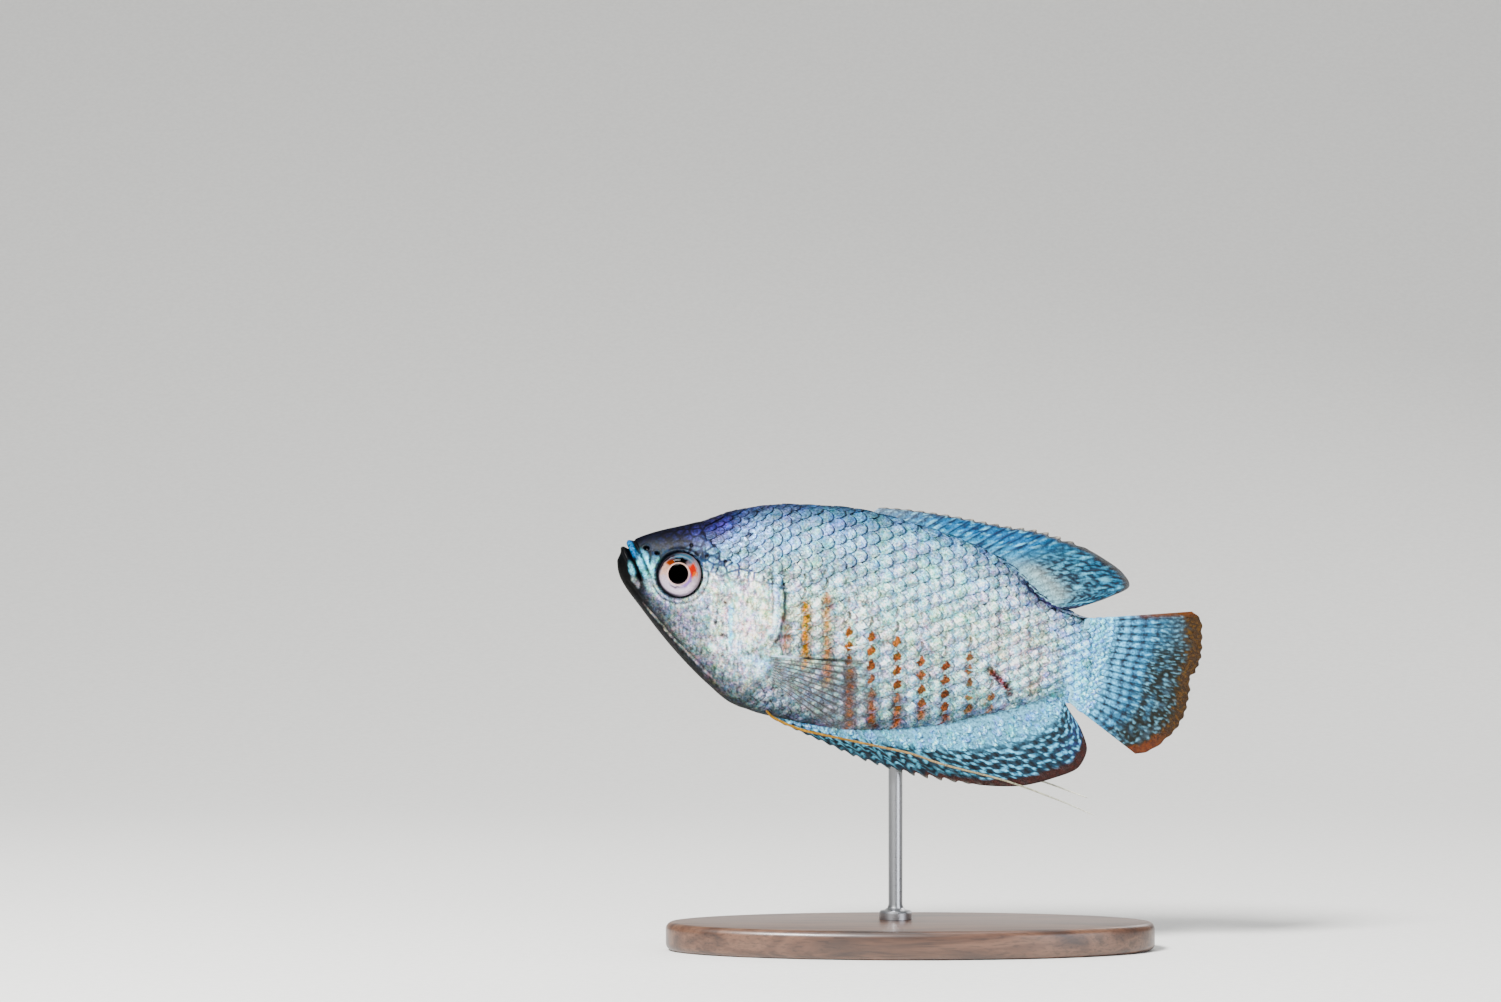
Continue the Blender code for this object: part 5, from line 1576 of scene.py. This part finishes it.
@dataclass
class TailFin(Fin):
    """The tail fin: a scaled blue base, arcs of dark spots on forked rays, and a scalloped rust margin."""

    name: str = "tail_fin_membrane"
    node: str = "tail_fin"
    columns_per_ray: int = 10
    rows: int = 84
    ray: float = 0.42
    root_x: float = 59.6
    scallop: float = 0.2
    fleshy: float = 1.35
    root_z: Line = line_field([(0.0, 5.45), (1.0, -5.2)])
    TIPS = [(0.0, 73.0, 9.2), (0.06, 74.2, 8.4), (0.15, 74.8, 6.4), (0.28, 75.2, 3.8), (0.40, 74.9, 1.75),
            (0.46, 74.35, 0.85), (0.53, 74.7, -0.6), (0.66, 74.75, -3.0), (0.78, 74.2, -5.4),
            (0.88, 72.9, -7.5), (0.95, 71.2, -9.3), (1.0, 69.7, -10.0)]
    # Each arc of dark spots: how far out it crosses the rays, and how dark it is
    ARCS = [(0.24, 0.5), (0.35, 0.9), (0.45, 0.85), (0.55, 0.8), (0.66, 0.6)]

    def base(self, across: Array) -> tuple[Array, Array]:
        """Roots in the tail's stalk."""
        return self.root_x, self.root_z(across)

    def tips(self, across: Array) -> tuple[Array, Array]:
        """Tips scalloped between the rays."""
        x, z = super().tips(across)
        return x - self.scallop * (0.5 + 0.5 * np.cos(2 * math.pi * across * self.rays)), z

    def forks(self, out: Array) -> Array:
        """Each ray parts in two a third of the way out."""
        return 0.24 * smooth(0.3, 0.85, out)

    def thickness(self, across: Array, out: Array) -> Array:
        """As thick as the tail's stalk at its root."""
        thin = super().thickness(across, out)
        return thin + (self.fleshy - thin) * np.clip(1 - out / 0.3, 0.0, 1.0) ** 1.5

    def colours(self, across: Array, out: Array, points: Array) -> tuple[Array, Array]:
        """Sky-blue oblongs between brown rays, crossed by arcs of maroon spots, out to the rust margin."""
        grains = grain(points, 0.9, 31)
        fine = grain(points, 0.3, 32)
        rays = self.ridge(across, out, 0.15)
        light = self.streaks(across, out, 64.0, 26.0, 33)
        bent = out + 0.05 * np.cos(math.pi * (across - 0.4)) + 0.02 * grains
        arcs = np.max([strength * hump(bent, place, 0.028) for place, strength in self.ARCS], axis=0)
        outer = smooth(0.12, 0.3, out)
        oblong = outer * (1 - rays) * (1 - np.minimum(1.0, 1.5 * arcs)) * smooth(0.74, 0.6, out)
        low = outer * smooth(0.5, 0.8, across)
        olive = smooth(0.5, 0.7, out) * smooth(0.1, 0.35, across)
        specks = smooth(0.5, 0.62, out) * smooth(0.05, 0.35, light) * smooth(0.97, 0.87, out)
        width = 0.12 - 0.03 * smooth(0.3, 0.5, across) + 0.03 * smooth(0.85, 1.0, across)
        margin = smooth(1 - width - 0.04, 1 - width + 0.03, out + 0.05 * grains + 0.03 * fine)
        top_edge = smooth(0.05, 0.0, across) * smooth(0.35, 0.6, out)
        colours = mix(
            Ramp([(0.0, "#8FBFD2"), (0.16, "#86C2DE"), (0.3, "#6FB4DA"), (0.55, "#4E92BE"), (0.72, "#46708A"),
                  (1.0, "#5E5230")])(out),
            (0.9 * arcs * smooth(-0.5, 0.3, fine) * outer, "#3C2028"),
            (0.75 * oblong * smooth(-0.2, 0.4, light), "#92DCFC"),
            (outer * rays * (0.6 + 0.35 * arcs), "#22242C"),
            (0.45 * low * smooth(-0.1, 0.35, grains), "#1A2230"),
            (0.88 * olive * smooth(-0.6, 0.1, grains), "#2E2E1C"),
            (0.62 * specks * (1 - 0.6 * rays), "#86BED6"),
            (0.95 * margin, "#4E3206"),
            (0.6 * margin * smooth(0.0, 0.3, fine), "#70500E"),
            (0.6 * margin * smooth(0.8, 0.95, across), "#7E3A06"),
            (0.85 * top_edge, "#7A440C"))
        return colours, 0.99 - 0.06 * margin


@dataclass
class PectoralFin(Fin):
    """A side fin: clear membrane, slate rays that fork near their ends, spread back along the flank."""

    side: Side = Side.LEFT
    slot: str = "clear_fins"
    rays: int = 11
    columns_per_ray: int = 10
    rows: int = 56
    membrane: float = 0.07
    ray: float = 0.26
    edge: float = 0.06
    ROOTS = [(0.0, 21.2, -7.2), (1.0, 21.9, -10.3)]
    TIPS = [(0.0, 32.6, -5.3), (0.15, 34.4, -6.4), (0.35, 35.4, -8.9), (0.6, 35.2, -11.6), (0.8, 33.7, -13.7),
            (1.0, 31.2, -15.0)]
    followed: float = -10.0
    lift: Line = line_field([(0.0, -0.35), (0.12, 0.45), (0.35, 0.8), (1.0, 1.75)])

    def place(self, across: Array, out: Array) -> Array:
        """Points that lie back along the flank and stand off it towards the tips."""
        x, z = (self.column(self.ROOTS, across, number) * (1 - out)
                + self.column(self.TIPS, across, number) * out for number in (1, 2))
        y = self.form.flank(x, np.maximum(z, self.followed)) + self.lift(out)
        return np.stack([x, self.side.value * y, z], axis=-1)

    def forks(self, out: Array) -> Array:
        """Each ray parts in two halfway out."""
        return 0.2 * smooth(0.45, 1.0, out)

    def colours(self, across: Array, out: Array, points: Array) -> tuple[Array, Array]:
        """Slate rays on a clear, faintly brown-pink membrane, with a painted highlight beside each ray near the
        root, and a pale first ray that turns black.
        """
        rays = self.ridge(across, out, 0.125)
        # Painted highlight: a pale line beside each ray, strongest near the root
        painted_gleam = hump(self.beside(across), 0.2, 0.05) * smooth(0.6, 0.1, out)
        first = smooth(0.075, 0.03, across)
        colours = mix(
            plain_rows("#968C8A", len(out)),
            (rays * (0.95 - 0.25 * smooth(0.5, 1.0, out)), "#1E242C"),
            (0.5 * painted_gleam, "#B9CBD6"),
            (first * smooth(0.4, 0.25, out), "#BFD4E6"),
            (first * smooth(0.3, 0.42, out) * smooth(0.95, 0.75, out), "#14181F"),
            (smooth(0.08, 0.0, out), "#9DC6D4"))
        solid = (0.04 + 0.85 * rays * (1 - 0.7 * smooth(0.45, 0.95, out)) + 0.5 * smooth(0.1, 0.0, out)
                 + 0.3 * first)
        return colours, np.clip(solid + 0.06 * smooth(0.5, 0.0, out), 0.0, 1.0) * smooth(1.06, 0.94, out)


@dataclass
class Feeler:
    """One thread-like pelvic fin, laid back under the anal fin: orange at its root, whitish at its end."""

    form: BodyForm
    side: Side
    around: int = 14
    stations: int = 160
    LEFT_LINE = [(22.0, -13.9), (23.6, -15.0), (28.5, -15.75), (34.0, -15.75), (40.5, -15.75), (46.0, -16.3),
                 (53.0, -16.6), (60.8, -17.65), (65.9, -18.65)]
    RIGHT_LINE = [(22.0, -13.9), (23.6, -15.0), (28.5, -15.75), (34.0, -15.75), (40.5, -15.6), (46.0, -15.5),
                  (53.0, -15.45), (58.7, -15.9), (64.9, -16.8)]
    ASIDE = [(22.0, 0.75), (24.0, 1.1), (60.0, 1.15), (66.0, 1.3)]
    RADIUS = [(22.0, 0.2), (26.0, 0.16), (45.0, 0.14), (60.0, 0.11), (66.0, 0.06)]
    COLOURS = [(0.0, "#8E6A2C"), (0.12, "#A47A3C"), (0.3, "#A98552"), (0.5, "#A28D6E"), (0.75, "#A3A08A"),
               (0.9, "#C4C4B4"), (1.0, "#DAD8CA")]

    def build(self, material: Material) -> Object:
        """Makes the thread, tapered and closed at both ends."""
        name = f"feeler_{self.side.name.lower()}"
        line = self.LEFT_LINE if self.side is Side.LEFT else self.RIGHT_LINE
        mesh = grid(self.around, self.stations)
        shares = corners(mesh)
        x = line[0][0] + (line[-1][0] - line[0][0]) * shares[:, 1]
        spin = 2 * math.pi * shares[:, 0]
        closing = np.sqrt(smooth(0.0, 0.01, shares[:, 1]) * smooth(1.0, 0.985, shares[:, 1]))
        radius = Line(self.RADIUS)(x) * closing
        radius *= 1 + 0.06 * np.sin(x * 9.0)
        y = self.side.value * Line(self.ASIDE)(x) + self.form.sway(x) + radius * np.cos(spin)
        z = Line(line)(x) + radius * np.sin(spin)
        points = np.stack([x, y, z], axis=-1)
        paint(mesh, Ramp(self.COLOURS)(shares[:, 1]) * (1 + 0.12 * grain(points, 1.1, 41))[:, None])
        piece = shape_piece(name + "_thread", mesh, points)
        piece.data.materials.append(material)
        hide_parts(name)
        return piece


@dataclass
class Stand:
    """The display stand: an oval walnut plate and a steel rod with a collar. Sizes are in millimetres."""

    length: float = 62.0
    breadth: float = 27.0
    thickness: float = 3.6
    edge: float = 0.9
    rod_radius: float = 0.9
    collar_radius: float = 2.1
    collar_height: float = 1.1
    # How far the collar sits in the plate, and how far the rod's top is below the solid rod's
    sunk: float = 0.25
    rod_head: float = 0.05
    around: int = 160
    turned: int = 48
    # Edges sharper than these stay sharp to the eye, and are rounded
    SHARP = math.radians(35)
    ROUNDED = math.radians(40)

    def piece(self, name: str, shape: bmesh.types.BMesh, node: str, slot: str,
              material: Material) -> Object:
        """Makes an object of a finished shape that stands for one node."""
        bmesh.ops.recalc_face_normals(shape, faces=shape.faces)
        mesh = from_shape(shape, name)
        mesh.shade_smooth()
        mesh.set_sharp_from_angle(angle=self.SHARP)
        mesh.materials.append(material)
        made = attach(in_scene(name, mesh), BODY)
        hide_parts(node)
        return made

    def base(self) -> Object:
        """The oval plate, with a rounded edge."""
        shape = bmesh.new()
        bmesh.ops.create_cone(shape, cap_ends=True, segments=self.around, radius1=0.5, radius2=0.5, depth=1.0)
        size = (self.length * MM, self.breadth * MM, self.thickness * MM)
        stretch = Matrix.Translation((0, 0, size[2] / 2)) @ Matrix.Diagonal((*size, 1.0))
        bmesh.ops.transform(shape, matrix=stretch, verts=shape.verts)
        rims = [edge for edge in shape.edges if edge.calc_face_angle(0.0) > self.ROUNDED]
        bmesh.ops.bevel(shape, geom=rims, offset=self.edge * MM, offset_type="OFFSET", segments=6,
                        profile=0.5, affect="EDGES", material=-1)
        return self.piece("stand_base_plate", shape, "stand_base", "stand_wood", Walnut().make())

    def rod(self) -> Object:
        """The rod, turned with its collar from one profile, as high as the solid rod."""
        low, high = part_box("stand_rod")
        foot = low.z - self.sunk * MM
        top = high.z - self.rod_head * MM
        collar = foot + self.collar_height * MM
        radius, wide = self.rod_radius * MM, self.collar_radius * MM
        profile = [(0.0, top), (radius * 0.85, top), (radius, top - 0.15 * MM), (radius, collar + 0.8 * MM),
                   (radius * 1.15, collar + 0.35 * MM), (radius * 1.6, collar + 0.05 * MM),
                   (wide * 0.9, collar), (wide, collar - 0.25 * MM), (wide, foot), (0.0, foot)]
        shape = bmesh.new()
        line = [shape.verts.new((r, 0.0, h)) for r, h in profile]
        edges = [shape.edges.new(pair) for pair in zip(line, line[1:])]
        bmesh.ops.spin(shape, geom=line + edges, cent=(0, 0, 0), axis=(0, 0, 1), angle=2 * math.pi,
                       steps=self.turned, use_merge=True)
        bmesh.ops.remove_doubles(shape, verts=shape.verts, dist=0.001 * MM)
        middle = (low + high) / 2
        bmesh.ops.translate(shape, verts=shape.verts, vec=(middle.x, middle.y, 0.0))
        return self.piece("stand_rod_turned", shape, "stand_rod", "stand_metal", BrushedSteel().make())


@dataclass
class Studio:
    """A plain pale floor that sweeps up behind, soft lights, and the photograph's view."""

    lens: float = 105.0
    CAMERA = (-20.25, -555.0, 56.9)
    # How high the floor rises behind, and how far the bend reaches, in metres
    rise: float = 1.8
    bend: float = 0.75
    # What the lights point at, in metres
    AIM = (0.0, 0.0, 0.045)

    def floor(self) -> Object:
        """The floor, with a curved rise far behind."""
        shape = bmesh.new()
        bmesh.ops.create_grid(shape, x_segments=1, y_segments=1, size=1.0)
        rear = [edge for edge in shape.edges if all(vertex.co.y > 0 for vertex in edge.verts)]
        risen = new_vertices(bmesh.ops.extrude_edge_only(shape, edges=rear))
        bmesh.ops.translate(shape, verts=risen, vec=(0.0, 0.0, self.rise))
        bend = [edge for edge in shape.edges if len(edge.link_faces) == 2]
        bmesh.ops.bevel(shape, geom=bend, offset=self.bend, offset_type="OFFSET", segments=24, profile=0.5,
                        affect="EDGES", material=-1)
        mesh = from_shape(shape, "floor")
        mesh.shade_smooth()
        mesh.materials.append(Backdrop().make())
        made = in_scene("floor", mesh)
        made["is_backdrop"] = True
        return made

    def light(self, name: str, place: tuple[float, float, float], size: float, power: float,
              code: str) -> None:
        """A square soft light that points at the fish."""
        lamp = bpy.data.lights.new(name, "AREA")
        lamp.size = size
        lamp.energy = power
        lamp.color = linear(code)
        made = in_scene(name, lamp)
        made.location = place
        made.rotation_mode = "QUATERNION"
        made.rotation_quaternion = (Vector(self.AIM) - Vector(place)).to_track_quat("-Z", "Y")

    def lights(self) -> None:
        """A key from above the camera's left, a fill from its right, a rim from behind and a pale room."""
        self.light("key", (-0.24, -0.36, 0.44), 0.15, 12.5, "#FFFFFF")
        self.light("fill", (0.42, -0.42, 0.16), 0.35, 2.0, "#F2F6FF")
        self.light("top", (0.02, 0.04, 0.50), 0.25, 0.8, "#FFFFFF")
        self.light("rim", (0.24, 0.40, 0.34), 0.24, 0.9, "#FFFFFF")
        world = bpy.data.worlds.new("room")
        world.use_nodes = True
        room = world.node_tree.nodes["Background"]
        room.inputs["Color"].default_value = (*linear("#F1F3F6"), 1.0)
        room.inputs["Strength"].default_value = 0.3
        bpy.context.scene.world = world

    def camera(self) -> None:
        """The photograph's view: level, square to the fish, with its framing."""
        data = bpy.data.cameras.new("photograph")
        data.lens = self.lens
        data.sensor_width = 36.0
        data.clip_start = 0.01
        data.clip_end = 20.0
        made = in_scene("photograph", data)
        made.location = [value * MM for value in self.CAMERA]
        made.rotation_euler = (math.radians(90.0), 0.0, 0.0)
        bpy.context.scene.camera = made


def report(piece: Object) -> None:
    """Logs a finished piece with its count of faces."""
    LOG.info("%s: %d faces", piece.name, len(piece.data.polygons))


def main() -> None:
    """Builds the fish, its stand and the studio, in order."""
    logging.basicConfig(level=logging.INFO, format="%(message)s")
    form = BodyForm()
    markings = Markings(form)
    report(Skin(form, markings).build())
    plates = FishSkin("scales_with_crystals", flash=0.7, play=0.4, roughness=0.38, metallic=0.2,
                      specular=0.11, coat=0.03, bump_mm=0.09, crinkle_mm=0.34, plated=True)
    coat = ScaleCoat(markings, plates.make())
    for piece in BodyScales(form, coat).build():
        report(piece)
    cornea = EyeGloss().make()
    for side in Side:
        report(Eye(form, side).build(cornea))
    painted = FinSkin("painted_fin_membrane").make()
    edges = FinSkin("thin_edged_fin_membrane", see_through=True).make()
    clear = FinSkin("clear_fin_membrane", roughness=0.3, flash=0.08, see_through=True).make()
    dorsal, anal, tail = DorsalFin(form), AnalFin(form), TailFin(form)
    for fin in (dorsal, anal, tail):
        report(fin.build(edges))
    for name, bed, code in (("scales_tail_base", tail.bed(0.04, 0.24), "#94D0F0"),
                            ("scales_anal_base", anal.bed(0.18, 0.42), "#8CC4DC")):
        report(coat.build(name, bed, FIN_SEED, code))
    for side in Side:
        word = side.name.lower()
        report(PectoralFin(form, name=f"pectoral_fin_{word}_membrane", node=f"pectoral_fin_{word}",
                           side=side).build(clear))
        report(Feeler(form, side).build(painted))
    stand = Stand()
    report(stand.base())
    report(stand.rod())
    studio = Studio()
    studio.floor()
    studio.lights()
    studio.camera()
    boxes = {"cad": [list(corner) for corner in CAD_BOX], "visual": [list(corner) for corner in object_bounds()]}
    for name, box in boxes.items():
        LOG.info("%s box: %s", name, [[round(value / MM, 2) for value in corner] for corner in box])


if __name__ == "__main__":
    main()
